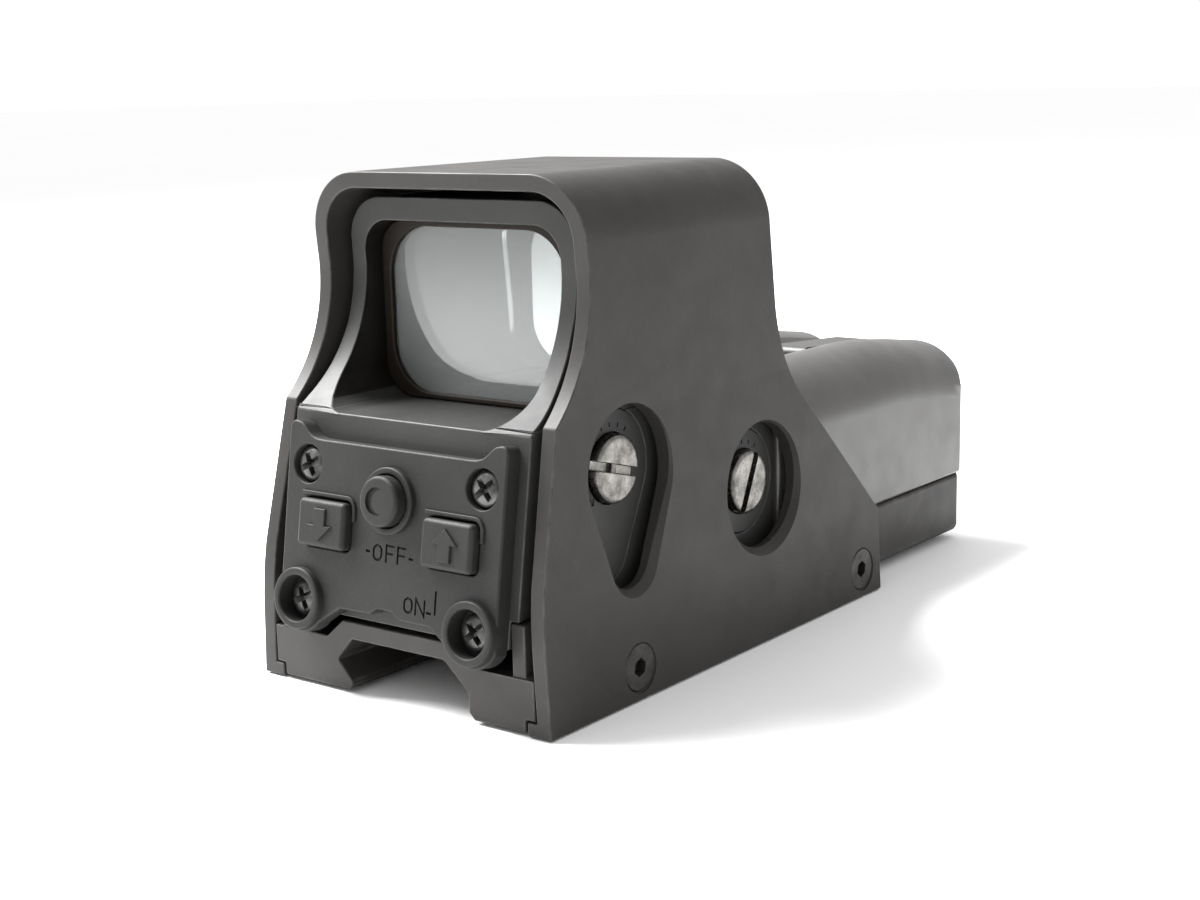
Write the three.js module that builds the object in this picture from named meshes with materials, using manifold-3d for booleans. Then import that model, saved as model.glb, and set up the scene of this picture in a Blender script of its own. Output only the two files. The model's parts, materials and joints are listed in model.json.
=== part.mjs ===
// Hooded red dot sight with a rear keypad, two side adjusters, a two-cell battery cap and a dovetail
// rail clamp. Lengths are millimetres. X is to the right seen from the eye side, Y is forward and Z is
// up. The pieces are laid out from the middle of the hood's rear lower edge, and the finished group is
// moved at the end so that its origin is the middle of the rail channel's roof.
import * as THREE from "three";
import { mergeVertices } from "three/addons/utils/BufferGeometryUtils.js";
import Module from "manifold-3d";

const wasm = await Module();
wasm.setup();

// Driving dimensions.
const HOOD = {
  length: 78, // along the bottom edge
  height: 64.3,
  footHalf: 24, // half width at the bottom
  shoulderHalf: 22.3, // half width at the shoulder
  topHalf: 22.2,
  shoulderZ: 35.7,
  corner: 8,
  wall: 2.1,
  lipHalf: 20.45, // the lower edge turns in to this half width
  lipHeight: 1.7,
};
const REAR_CURVE = { y: -9.2, z: 51.5, r: 21 }; // hollow of the hood's rear edge above the shoulder
const FRONT_CURVE = { y: 74.8, z: 48, r: 23 }; // hollow of its front edge
const BODY = {
  half: 19.3,
  bottom: 10,
  top: 35.2,
  front: 55.6,
  cavityHalf: 16.5,
  cavityTop: 31.5,
  cavityRear: 9.5,
  cavityFront: 50,
};
const WINDOW_BLOCK = { half: 18.4, top: 61, front: 47.5, corner: 5.5 };
const WINDOW_CURVE = { y: -5.8, z: 52.5, r: 20 }; // hollow of the window frame's rear face
const TUNNEL = { half: 16, bottom: 34.8, top: 58, lowCorner: 4.5, highCorner: 4 };
const PANE = { thickness: 1.8, rearY: 17.9, frontY: 43.6, clear: 0.12, bezelHalf: 14.4, bezelCorner: 6.2 };
const KEYPAD = { tilt: 9.03, y: -2.1, z: 12, half: 17.9, top: 20.15, ear: 22.2, thickness: 2.2 };
const KEY = { x: 10.35, up: 9.82, width: 8, height: 5.9, proud: 1.3, clear: 0.18 };
const ROUND_KEY = { up: 13.87, r: 3.1, proud: 2.3, collar: 4.1 };
const TOP_SCREW = { x: 14.35, up: 16.9 };
const LOW_SCREW = { x: 14.2, up: 0, boss: 3.9, proud: 1.05 };
const RAIL = { roof: 7, apexHalf: 10.4, apexZ: 4.04, waistHalf: 8, roofHalf: 7.6 };
const BASE = { length: 77.8, half: 21.55, footHalf: 20.1, bottom: 0.3, shelf: 6.85, bridge: 9.3 };
const JAW = { rear: 24.3, front: 53.7, outer: 16, top: 6.2, pocket: 18.8 };
const CLAMP = { y: 39, z: 3.45, r: 1.5, headHalf: 3.2, head: 4.7, headX: -24.8 };
const ELEVATION = { y: 18.5, z: 28.5, r: 4.3, face: 20.7, stem: 6, slot: -15 };
const WINDAGE = { y: 47.7, z: 21.4, r: 4.3, face: 20.7, stem: 10, slot: 65 };
const DIAL = { pocket: 0.8, thickness: 0.8, clear: 0.15, inset: 0.9, r: 7 };
const TEARDROP = { y: 18.5, z: 28.4, r: 8.3, lowY: 18.2, lowZ: 17.8, lowR: 4 };
const ROUND_WINDOW = { y: 47.8, z: 21.2, r: 8.5 };
const LIP = 0.8; // chamfer round both adjuster openings
const SIDE_SCREWS = { rearY: 18, frontY: 72.65, z: 4.05, head: 3.05, shank: 1.45 };
const CAP = {
  rear: 56,
  front: 113,
  half: 20,
  bottom: 11,
  humpX: 11,
  humpZ: 25.4,
  humpR: 9,
  valley: 30.4,
  wall: 1.6,
};
const CELL = { x: 9.6, z: 22, r: 7.2, length: 50, rear: 58.8 };
const TRAY = { half: 19.5, bottom: 0.9, top: 10.7, rear: 78.2, front: 112.8 };
const LATCH = { half: 3.3, pivotY: 91.5, pivotZ: 31.75, pinR: 0.75, front: 112.4, fall: 1.25 };

const DIAL_SEAT = BODY.half - DIAL.pocket; // X of the pockets' floors

const degrees = THREE.MathUtils.degToRad;
const point = (x, y) => new THREE.Vector2(x, y);

// Outlines.

function arc(cx, cy, r, from, to, steps) {
  const points = [];
  for (let i = 0; i <= steps; i++) {
    const angle = degrees(from + ((to - from) * i) / steps);
    points.push(point(cx + r * Math.cos(angle), cy + r * Math.sin(angle)));
  }
  return points;
}

function mirrored(rightHalf) {
  const leftHalf = rightHalf.map((p) => point(-p.x, p.y)).reverse();
  return [...rightHalf, ...leftHalf];
}

function rectangle(x0, y0, x1, y1) {
  return [point(x0, y0), point(x1, y0), point(x1, y1), point(x0, y1)];
}

function roundedWindow(half, bottom, top, lowCorner, highCorner, steps = 5) {
  return mirrored([
    ...arc(half - lowCorner, bottom + lowCorner, lowCorner, -90, 0, steps),
    ...arc(half - highCorner, top - highCorner, highCorner, 0, 90, steps),
  ]);
}

// Two circles, the large one over the small one, and their common tangents.
function teardrop(grow, steps = 18) {
  const { y, z, r, lowY, lowZ, lowR } = TEARDROP;
  const apart = Math.hypot(lowY - y, lowZ - z);
  const towards = THREE.MathUtils.radToDeg(Math.atan2(lowZ - z, lowY - y));
  const spread = THREE.MathUtils.radToDeg(Math.acos((r - lowR) / apart));
  return [
    ...arc(y, z, r + grow, towards + spread, towards - spread + 360, steps),
    ...arc(lowY, lowZ, lowR + grow, towards - spread, towards + spread, steps / 3),
  ];
}

// Solids. A frame turns the drawing plane so that its outline is extruded along the named axis.

const FRAMES = {
  x: new THREE.Matrix4().set(0, 0, 1, 0, 1, 0, 0, 0, 0, 1, 0, 0, 0, 0, 0, 1),
  y: new THREE.Matrix4().set(1, 0, 0, 0, 0, 0, -1, 0, 0, 1, 0, 0, 0, 0, 0, 1),
  z: new THREE.Matrix4(),
};

function prism(outline, axis, from, to) {
  const shape = new THREE.Shape(outline);
  const geometry = new THREE.ExtrudeGeometry(shape, { depth: to - from, bevelEnabled: false });
  geometry.applyMatrix4(FRAMES[axis]);
  const shift = { x: [from, 0, 0], y: [0, to, 0], z: [0, 0, from] }[axis];
  return geometry.translate(...shift);
}

function box(x0, x1, y0, y1, z0, z1) {
  return prism(rectangle(x0, y0, x1, y1), "z", z0, z1);
}

// Turns a profile of [radius, distance along the axis] pairs about an axis through a point.
function turned(profile, axis, at, segments = 24) {
  const points = profile.map(([r, along]) => point(r, along));
  const geometry = new THREE.LatheGeometry(points, segments);
  if (axis === "x") geometry.rotateZ(-Math.PI / 2);
  if (axis === "z") geometry.rotateX(Math.PI / 2);
  return geometry.translate(...at);
}

function rod(r, from, to, axis, at, segments = 24) {
  return turned([[0, from], [r, from], [r, to], [0, to]], axis, at, segments);
}

// A solid through outlines of the same number of points, which lie across the axis at the given
// places along it. The places run towards +X or towards -Y.
function loft(axis, stations) {
  const count = stations[0][1].length;
  const last = (stations.length - 1) * count;
  const onAxis = { x: (at, p) => [at, p.x, p.y], y: (at, p) => [p.x, at, p.y] }[axis];
  const vertices = stations.flatMap(([at, outline]) => outline.flatMap((p) => onAxis(at, p)));
  const triangles = [];
  for (let ring = 0; ring < last; ring += count) {
    for (let i = 0; i < count; i++) {
      const [a, b] = [ring + i, ring + ((i + 1) % count)];
      triangles.push(a, b, count + b, a, count + b, count + a);
    }
  }
  for (const [a, b, c] of THREE.ShapeUtils.triangulateShape(stations[0][1], [])) {
    triangles.push(a, c, b, last + a, last + b, last + c);
  }
  const geometry = new THREE.BufferGeometry();
  geometry.setAttribute("position", new THREE.Float32BufferAttribute(vertices, 3));
  geometry.setIndex(triangles);
  return geometry;
}

function solid(geometry) {
  const bare = geometry.clone();
  bare.deleteAttribute("normal");
  bare.deleteAttribute("uv");
  const merged = mergeVertices(bare, 1e-4);
  const made = new wasm.Manifold(
    new wasm.Mesh({
      numProp: 3,
      vertProperties: new Float32Array(merged.attributes.position.array),
      triVerts: new Uint32Array(merged.index.array),
    }),
  );
  if (made.volume() <= 0) throw new Error("a solid is inside out");
  return made;
}

function geometryOf(manifold) {
  const mesh = manifold.getMesh();
  const geometry = new THREE.BufferGeometry();
  geometry.setAttribute("position", new THREE.BufferAttribute(mesh.vertProperties, 3));
  geometry.setIndex(new THREE.BufferAttribute(mesh.triVerts, 1));
  const faceted = geometry.toNonIndexed();
  faceted.computeVertexNormals();
  return faceted;
}

function cut(body, ...tools) {
  return geometryOf(tools.reduce((left, tool) => left.subtract(solid(tool)), solid(body)));
}

function join(...bodies) {
  return geometryOf(bodies.map(solid).reduce((all, body) => all.add(body)));
}

function common(...bodies) {
  return geometryOf(bodies.map(solid).reduce((all, body) => all.intersect(body)));
}

// Finishes: colour, roughness, metalness.

const finish = (color, roughness, metalness = 0) =>
  new THREE.MeshStandardMaterial({ color, roughness, metalness });
const ANODISED = finish(0x4a4744, 0.55, 0.4);
const HOUSING_GREY = finish(0x45423f, 0.6, 0.3);
const RUBBER = finish(0x3b3a38, 0.85);
const STEEL = finish(0xb9b4aa, 0.35, 1);
const BLACK_STEEL = finish(0x4b4946, 0.45, 0.9);
const PLASTIC = finish(0x353432, 0.6);
const GLASS = finish(0x9aa6a6, 0.05);
const BOARD = finish(0x1f5a35, 0.6);
const GOLD = finish(0xc9a24a, 0.3, 1);

// The tilted frame of the rear face: its local X is across, local Z is up the face from the lower screws and
// local Y is into the object, with the keypad's face at local Y 0.
const rearFace = new THREE.Group();
rearFace.position.set(0, KEYPAD.y, KEYPAD.z);
rearFace.rotation.x = -degrees(KEYPAD.tilt);
rearFace.updateMatrix();
const onRearFace = (geometry) => geometry.applyMatrix4(rearFace.matrix);
const BACKING = KEYPAD.thickness + 0.1; // local Y of the housing's face behind the keypad

// Hood.

function hoodSection(inset) {
  const radius = HOOD.corner - inset;
  const foot = inset ? [point(HOOD.lipHalf, -1), point(HOOD.lipHalf, HOOD.lipHeight)] : [];
  const footHalf = HOOD.footHalf - inset;
  return mirrored([
    ...foot,
    point(footHalf, inset ? HOOD.lipHeight : 0),
    point(HOOD.shoulderHalf - inset, HOOD.shoulderZ),
    ...arc(HOOD.topHalf - HOOD.corner, HOOD.height - HOOD.corner, radius, 0, 90, 8),
  ]);
}

function hoodSideView() {
  const rear = [
    point(0, 0),
    point(0, 10.5),
    point(0.15, 14),
    point(0.6, 17.5),
    ...arc(REAR_CURVE.y, REAR_CURVE.z, REAR_CURVE.r, -48.4, 8, 14),
    point(10.6, HOOD.height + 1),
  ];
  const front = [
    point(49.8, HOOD.height + 1),
    ...arc(FRONT_CURVE.y, FRONT_CURVE.z, FRONT_CURVE.r, 187, 225, 8),
    point(HOOD.length, 12.2),
    point(HOOD.length, 0),
  ];
  return [...rear, ...front];
}

function lippedOpening(outline) {
  const inside = 15;
  const outside = 26;
  const skin = 22.9; // the wall's outer skin lies near this X at the openings
  const reach = outside - skin;
  return [
    loft("x", [[inside, outline(0)], [outside, outline(0)]]),
    loft("x", [[skin - 2 * LIP, outline(-LIP)], [outside, outline(reach)]]),
  ];
}

const roundOpening = (grow) => arc(ROUND_WINDOW.y, ROUND_WINDOW.z, ROUND_WINDOW.r + grow, 0, 345, 23);

function sideScrewTool(side, y) {
  const skin = HOOD.footHalf - 0.2;
  const { head, shank } = SIDE_SCREWS;
  const wide = head + 0.15;
  const bore = [[0, 15], [shank + 0.2, 15], [shank + 0.2, skin - 1.7]];
  const seat = [[wide, skin - 0.1], [wide, 30], [0, 30]];
  const tool = turned([...bore, ...seat], "x", [0, 0, 0]);
  if (side < 0) tool.rotateZ(Math.PI);
  return tool.translate(0, y, SIDE_SCREWS.z);
}

function sideScrewTools() {
  const tools = [];
  for (const side of [1, -1]) {
    tools.push(sideScrewTool(side, SIDE_SCREWS.rearY), sideScrewTool(side, SIDE_SCREWS.frontY));
  }
  return tools;
}

function hood() {
  const outer = prism(hoodSection(0), "y", -5, HOOD.length + 5);
  const inner = prism(hoodSection(HOOD.wall), "y", -6, HOOD.length + 6);
  const shell = common(cut(outer, inner), prism(hoodSideView(), "x", -30, 30));
  return cut(
    shell,
    ...lippedOpening(teardrop),
    ...lippedOpening(roundOpening),
    ...sideScrewTools(),
    rod(CLAMP.r + 0.4, -30, -15, "x", [0, CLAMP.y, CLAMP.z]),
  );
}

// Side screws: hex-socket countersunk, the shank along -X from the head.

function hexPrism(across, from, to) {
  const corners = arc(0, 0, across / Math.sqrt(3), 0, 300, 5);
  return prism(corners, "x", from, to);
}

function sideScrew() {
  const { head, shank } = SIDE_SCREWS;
  const profile = [[0, -6], [shank, -6], [shank, -1.75], [head, -0.15], [head, 0], [0, 0]];
  return cut(turned(profile, "x", [0, 0, 0]), hexPrism(2.1, -1.3, 1));
}

// Optical housing.

function housingLower() {
  const slope = Math.tan(degrees(KEYPAD.tilt));
  const faceY = (z) => KEYPAD.y + BACKING / Math.cos(degrees(KEYPAD.tilt)) + slope * (z - KEYPAD.z);
  const sideView = [
    point(faceY(BODY.bottom), BODY.bottom),
    point(BODY.front, BODY.bottom),
    point(BODY.front, BODY.top),
    point(faceY(BODY.top - 0.4) + 0.3, BODY.top),
    point(faceY(BODY.top - 0.4), BODY.top - 0.4),
  ];
  return prism(sideView, "x", -BODY.half, BODY.half);
}

function windowBlock() {
  const { half, top, front, corner } = WINDOW_BLOCK;
  const sideView = [
    ...arc(WINDOW_CURVE.y, WINDOW_CURVE.z, WINDOW_CURVE.r, -59.8, 0, 14),
    point(13.8, top + 1),
    point(front, top + 1),
    point(front, BODY.top - 1),
    point(4.6, BODY.top - 1),
  ];
  const section = mirrored([
    point(BODY.half - 0.1, BODY.top - 2),
    point(BODY.half - 0.1, BODY.top + 1),
    point(half + 0.35, 40),
    point(half, 45),
    ...arc(half - corner, top - corner, corner, 0, 90, 7),
  ]);
  return common(prism(sideView, "x", -25, 25), prism(section, "y", -5, 60));
}

// The keypad's switches sit in a recess of this outline, in the rear face's frame.
function switchRecess(clear) {
  const wide = 15.5 - clear;
  const narrow = 7 - clear;
  return mirrored([
    point(wide, 5.6 + clear),
    point(wide, 14 - clear),
    point(narrow, 14 - clear),
    point(narrow, 18.2 - clear),
  ]);
}

function screwHole(x, up, r, from, to) {
  return onRearFace(rod(r, from, to, "y", [x, 0, up], 16));
}

function housing() {
  const body = join(housingLower(), windowBlock());
  const tunnel = roundedWindow(TUNNEL.half, TUNNEL.bottom, TUNNEL.top, TUNNEL.lowCorner, TUNNEL.highCorner);
  const c = BODY.cavityHalf;
  const tools = [
    prism(tunnel, "y", -10, 60),
    box(-c, c, BODY.cavityRear, BODY.cavityFront, 5, BODY.cavityTop),
    box(-6, 6, 24, 40, 30, 36),
    onRearFace(prism(switchRecess(0), "y", 0, 5.7)),
    onRearFace(box(-2, 2, 5, 14, 8, 12)),
    rod(2.1, 10, 25, "x", [0, ELEVATION.y, ELEVATION.z]),
    rod(2.1, 10, 25, "x", [0, WINDAGE.y, WINDAGE.z]),
    prism(teardrop(DIAL.clear - DIAL.inset), "x", DIAL_SEAT, 25),
    rod(DIAL.r + DIAL.clear, DIAL_SEAT, 25, "x", [0, WINDAGE.y, WINDAGE.z], 36),
  ];
  for (const side of [1, -1]) {
    tools.push(screwHole(side * TOP_SCREW.x, TOP_SCREW.up, 1.3, 0, 8.5));
    tools.push(screwHole(side * LOW_SCREW.x, LOW_SCREW.up, 1.3, 0, 8.5));
    tools.push(box(side > 0 ? 18 : -25, side > 0 ? 25 : -18, -5, 6.4, 5, 13.4));
  }
  for (const y of [5, 52.6]) tools.push(rod(1.35, 5, 15, "z", [0, y, 0], 16));
  return cut(body, ...tools);
}

// Panes and their bezels.

function pane(tilt) {
  const { thickness, clear } = PANE;
  const outline = roundedWindow(
    TUNNEL.half - clear,
    TUNNEL.bottom + clear,
    TUNNEL.top - clear - tilt,
    TUNNEL.lowCorner,
    TUNNEL.highCorner,
  );
  return prism(outline, "y", 0, thickness);
}

function bezel(depth) {
  const { clear, bezelHalf, bezelCorner } = PANE;
  const outer = roundedWindow(
    TUNNEL.half - clear,
    TUNNEL.bottom + clear,
    TUNNEL.top - clear,
    TUNNEL.lowCorner,
    TUNNEL.highCorner,
  );
  const inner = roundedWindow(bezelHalf, TUNNEL.bottom + 0.9, TUNNEL.top - 0.9, bezelCorner, bezelCorner);
  return cut(prism(outer, "y", 0, depth), prism(inner, "y", -1, depth + 1));
}

// Keypad, in the rear face's frame.

function keypadOutline() {
  const { half, top, ear } = KEYPAD;
  return mirrored([
    point(1.2, 0.5),
    point(2.4, -0.3),
    point(7.5, -0.4),
    point(9.3, -1.6),
    ...arc(LOW_SCREW.x, 0, 4.3, 218, 318, 7),
    point(half, -2.2),
    ...arc(half - 1, ear - 1, 1, 0, 100, 4),
    point(15.6, ear - 0.6),
    point(14.6, top + 0.6),
    point(12.6, top),
  ]);
}

const keyOutline = (x, grow) => {
  const w = KEY.width / 2 + grow;
  const h = KEY.height / 2 + grow;
  const r = 0.7;
  const corners = [
    ...arc(w - r, h - r, r, 0, 90, 3),
    ...arc(r - w, h - r, r, 90, 180, 3),
    ...arc(r - w, r - h, r, 180, 270, 3),
    ...arc(w - r, r - h, r, 270, 360, 3),
  ];
  return corners.map((p) => point(p.x + x, p.y + KEY.up));
};

function keypadPad() {
  const t = KEYPAD.thickness;
  const bosses = [-1, 1].map((side) =>
    rod(LOW_SCREW.boss, -LOW_SCREW.proud, 1, "y", [side * LOW_SCREW.x, 0, LOW_SCREW.up]),
  );
  const collar = rod(ROUND_KEY.collar, -0.75, 1, "y", [0, 0, ROUND_KEY.up]);
  const slab = join(prism(keypadOutline(), "y", 0, t), ...bosses, collar);
  const tools = [rod(ROUND_KEY.r + KEY.clear, -5, 5, "y", [0, 0, ROUND_KEY.up])];
  for (const side of [-1, 1]) {
    tools.push(prism(keyOutline(side * KEY.x, KEY.clear), "y", -5, 5));
    tools.push(rod(2.45, -5, 1.5, "y", [side * TOP_SCREW.x, 0, TOP_SCREW.up]));
    tools.push(rod(1.3, 0, 5, "y", [side * TOP_SCREW.x, 0, TOP_SCREW.up], 16));
    tools.push(rod(2.9, -5, 1.5, "y", [side * LOW_SCREW.x, 0, LOW_SCREW.up]));
    tools.push(rod(1.3, 0, 5, "y", [side * LOW_SCREW.x, 0, LOW_SCREW.up], 16));
  }
  return cut(slab, ...tools);
}

function squareKey(side) {
  const x = side * KEY.x;
  const flange = prism(keyOutline(x, 0.65), "y", 2.45, 2.95);
  const stem = rod(1.2, 2, 3.15, "y", [x, 0, KEY.up], 16);
  return join(prism(keyOutline(x, 0), "y", -KEY.proud, 2.5), flange, stem);
}

function roundKey() {
  const { r, proud, up } = ROUND_KEY;
  const profile = [
    [0, -proud],
    [r - 0.6, -proud],
    [r, 0.6 - proud],
    [r, 2.45],
    [r + 0.7, 2.45],
    [r + 0.7, 2.95],
    [1.2, 2.95],
    [1.2, 3.15],
    [0, 3.15],
  ];
  return turned(profile, "y", [0, 0, up]);
}

function crossScrew() {
  const profile = [[0, 0.35], [1.5, 0.35], [2.2, 0.75], [2.2, 1.4], [1.1, 1.4], [1.1, 8], [0, 8]];
  const arm = (x, z) => box(-x, x, 0, 1.1, -z, z);
  return cut(turned(profile, "y", [0, 0, 0]), arm(1.4, 0.3), arm(0.3, 1.4));
}

function domeSwitch() {
  return turned([[0, 4.02], [0.9, 4.06], [1.8, 4.3], [0, 4.3]], "y", [0, 0, 0], 16);
}

// Adjusters: slotted heads that turn about X in the housing's right wall.

function adjuster({ r, face, stem, slot }) {
  const neck = DIAL_SEAT + 0.15;
  const profile = [[0, stem], [1.4, stem + 0.6], [1.9, stem + 1.2], [1.9, neck], [r, neck], [r, face - 0.3]];
  const rim = [[r - 0.3, face], [0, face]];
  const blade = box(face - 1.2, face + 1, -r - 1, r + 1, -0.65, 0.65).rotateX(degrees(slot));
  return cut(turned([...profile, ...rim], "x", [0, 0, 0], 32), blade);
}

function dial(outline, { y, z, r }) {
  const hole = rod(r + 0.2, 15, 25, "x", [0, y, z], 32);
  const under = DIAL_SEAT + 0.1;
  return cut(prism(outline, "x", under, under + DIAL.thickness), hole);
}

// Projector: the carriage slides up and down, and the emitter block slides across on it.

function elevationCarriage() {
  return join(box(-7, 7, 20, 34, 14, 17), box(2, 5.6, 15.8, 21, 14, 26));
}

function emitterBlock() {
  const body = join(
    box(-4, 4, 22, 32, 17.3, 22),
    box(3, 9.3, 29, 49.4, 19.5, 22),
    rod(3.6, 21, 26.4, "z", [0, 27, 0]),
  );
  return cut(body, rod(2.9, 22, 28, "z", [0, 27, 0]));
}

function emitterLed() {
  const profile = [[0, 22.2], [1.6, 22.2], [1.6, 24.6], [1.1, 25.7], [0, 26.1]];
  return turned(profile, "z", [0, 27, 0], 16);
}

function reticleMask() {
  return cut(rod(3.5, 26.5, 27.1, "z", [0, 27, 0]), rod(0.4, 26, 28, "z", [0, 27, 0], 8));
}

// Rail base and clamp.

function baseSection() {
  const right = [
    point(RAIL.roofHalf, RAIL.roof),
    point(11.4, 3.6),
    point(11.4, 1.1),
    point(12.2, BASE.bottom),
    point(BASE.footHalf, BASE.bottom),
    point(BASE.footHalf, 1.9),
    point(BASE.half, 1.9),
    point(BASE.half, BASE.shelf),
    point(12.1, BASE.shelf),
    point(BASE.bridge, BASE.bridge),
  ];
  const leftOutside = right.slice(4).map((p) => point(-p.x, p.y));
  const leftInside = [
    point(-RAIL.waistHalf - 0.6, BASE.bottom),
    point(-RAIL.waistHalf, 0.9),
    point(-RAIL.waistHalf - 0.1, 1.5),
    point(-RAIL.apexHalf, RAIL.apexZ),
    point(-RAIL.roofHalf - 0.2, RAIL.roof),
  ];
  return [...right, ...leftOutside.reverse(), ...leftInside];
}

function countersunk(y, clear) {
  const top = RAIL.roof + 0.1 - clear;
  const profile = [
    [0, top],
    [2.3 + clear, top],
    [2.3 + clear, top + 0.2 + clear],
    [1.2 + clear, top + 1.5 + clear],
    [1.2 + clear, 13.5 + clear],
    [0, 13.5 + clear],
  ];
  return turned(profile, "z", [0, y, 0]);
}

function railBase() {
  const bar = prism(baseSection(), "y", 0.05, BASE.length);
  const ears = [box(18.2, 20.2, 0.3, 6, 6, 13.2), box(-20.2, -18.2, 0.3, 6, 6, 13.2)];
  const tools = [
    box(10.1, JAW.pocket, JAW.rear - 0.3, JAW.front + 0.3, -1, JAW.top + 0.3),
    rod(CLAMP.r + 0.2, -25, 18, "x", [0, CLAMP.y, CLAMP.z]),
    countersunk(5, 0.15),
    countersunk(52.6, 0.15),
  ];
  for (const y of [SIDE_SCREWS.rearY, SIDE_SCREWS.frontY]) {
    const at = [0, y, SIDE_SCREWS.z];
    tools.push(rod(SIDE_SCREWS.shank + 0.15, 17.5, 25, "x", at, 16));
    tools.push(rod(SIDE_SCREWS.shank + 0.15, -25, -17.5, "x", at, 16));
  }
  return cut(join(bar, ...ears), ...tools);
}

function clampJaw() {
  const section = [
    point(RAIL.waistHalf + 0.6, BASE.bottom + 0.1),
    point(RAIL.waistHalf, 0.9),
    point(RAIL.waistHalf + 0.1, 1.5),
    point(RAIL.apexHalf, RAIL.apexZ),
    point(RAIL.apexHalf, JAW.top),
    point(JAW.outer, JAW.top),
    point(JAW.outer, BASE.bottom + 0.1),
  ];
  const bar = prism(section, "y", JAW.rear, JAW.front);
  return cut(bar, rod(CLAMP.r + 0.15, 5, 20, "x", [0, CLAMP.y, CLAMP.z]));
}

function knurledHead() {
  const teeth = 20;
  const quarter = 90 / teeth;
  const tooth = [[-quarter, CLAMP.headHalf], [quarter, CLAMP.headHalf], [2 * quarter, CLAMP.headHalf - 0.35]];
  const points = [];
  for (let i = 0; i < teeth; i++) {
    for (const [turn, r] of tooth) {
      const angle = degrees(4 * quarter * i + turn);
      points.push(point(r * Math.cos(angle), r * Math.sin(angle)));
    }
  }
  return points;
}

// The screw lies along +X from its head's underside at X 0.
function clampScrew() {
  const length = 17.5 - CLAMP.headX;
  const body = join(prism(knurledHead(), "x", -CLAMP.head, 0), rod(CLAMP.r, -1, length, "x", [0, 0, 0]));
  return cut(body, box(-CLAMP.head - 1, -CLAMP.head + 1.4, -6, 6, -0.7, 0.7));
}

function washer() {
  return cut(rod(2.9, 0, 0.5, "x", [0, 0, 0]), rod(CLAMP.r + 0.2, -1, 2, "x", [0, 0, 0]));
}

// Battery compartment.

// The cap's cross-section with its humps lowered by a drop.
function capSection(inset, drop) {
  const { half, bottom, humpX, humpZ, humpR, valley } = CAP;
  return mirrored([
    point(half - inset, bottom + inset * 0.9),
    ...arc(humpX, humpZ - drop, humpR - inset, 0, 125, 10),
    point(4.2 - inset * 0.5, valley - drop / 2 - inset),
  ]);
}

// The cap's cross-section along its length. The humps fall ever faster towards the front.
function capBody(inset, front, rear) {
  const fall = [[0, 2.5], [-1, 2.4], [-5, 1.95], [-12, 0.95], [-19, 0.25], [-25, 0]];
  const stations = fall.map(([y, drop]) => [front + y, capSection(inset, drop)]);
  return loft("y", [...stations, [rear, capSection(inset, 0)]]);
}

function capPlan() {
  const { half, rear, front } = CAP;
  const r = 2.2;
  const side = [point(half, rear), ...arc(half - r, front - r, r, 0, 90, 5)];
  return prism(mirrored(side), "z", 0, 50);
}

function batteryCap() {
  const { rear, front, wall } = CAP;
  const outside = common(capBody(0, front, rear), capPlan());
  const pinHole = rod(LATCH.pinR + 0.08, -5.9, 5.9, "x", [0, LATCH.pivotY, LATCH.pivotZ], 16);
  return cut(outside, capBody(wall, front - wall, rear - 2), pinHole);
}

function batteryTube() {
  const section = mirrored([
    point(17.2, 13.3),
    point(17.9, 14),
    ...arc(11.9, 24.3, 6, 0, 90, 5),
    point(7.2, 30.3),
    point(4.2, 27.8),
  ]);
  const tube = prism(section, "y", BODY.front + 0.2, CELL.rear + CELL.length - 6.8);
  const tools = [-1, 1].flatMap((side) => [
    rod(CELL.r + 0.3, 57.6, 115, "y", [side * CELL.x, 0, CELL.z]),
    rod(1, 50, 60, "y", [side * CELL.x, 0, CELL.z], 8),
  ]);
  return cut(tube, ...tools);
}

// A cell along +Y from its flat end.
function cell() {
  const { r, length } = CELL;
  const nub = length - 1.2;
  const can = [[0, 0], [r - 0.5, 0], [r, 0.5], [r, nub - 0.5], [r - 0.5, nub], [2.6, nub]];
  return turned([...can, [2.6, length], [0, length]], "y", [0, 0, 0]);
}

function cellSpring() {
  return turned([[0, 0], [4.4, 0], [4.4, 0.3], [2.2, 0.95], [0, 0.95]], "y", [0, 0, 0], 20);
}

function frontTray() {
  const { half, bottom, top, rear, front } = TRAY;
  const section = mirrored([
    point(RAIL.roofHalf, RAIL.roof),
    point(11.4, 3.6),
    point(11.4, bottom + 0.9),
    point(12.3, bottom),
    point(half - 1.2, bottom),
    point(half, bottom + 1.2),
    point(half, top - 0.5),
    point(half - 0.5, top),
  ]);
  const plan = mirrored([point(half, rear), ...arc(half - 1.8, front - 1.8, 1.8, 0, 90, 4)]);
  const tray = common(prism(section, "y", rear, front + 1), prism(plan, "z", 0, 20));
  const tongue = box(-17, 17, BODY.front + 0.3, rear + 1, 9.7, top);
  return join(tray, tongue);
}

function latchLever() {
  const { pivotY, pivotZ, half, front, pinR, fall } = LATCH;
  const sideView = [
    ...arc(pivotY, pivotZ, 1.05, 90, 270, 8),
    point(front - 1.5, pivotZ - 1.05 - fall),
    point(front, pivotZ - 0.9 - fall),
    point(front + 0.2, pivotZ - fall),
    point(front - 0.6, pivotZ + 1.05 - fall),
  ];
  const lever = prism(sideView, "x", -half, half);
  return cut(lever, rod(pinR + 0.08, -9, 9, "x", [0, pivotY, pivotZ], 16));
}

// Assembly.

const sight = new THREE.Group();
const layout = new THREE.Group();
sight.add(layout);
layout.add(rearFace);

function add(name, geometry, material, parent = layout, at = [0, 0, 0]) {
  const mesh = new THREE.Mesh(geometry, material);
  mesh.name = name;
  mesh.position.set(...at);
  parent.add(mesh);
  return mesh;
}

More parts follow.
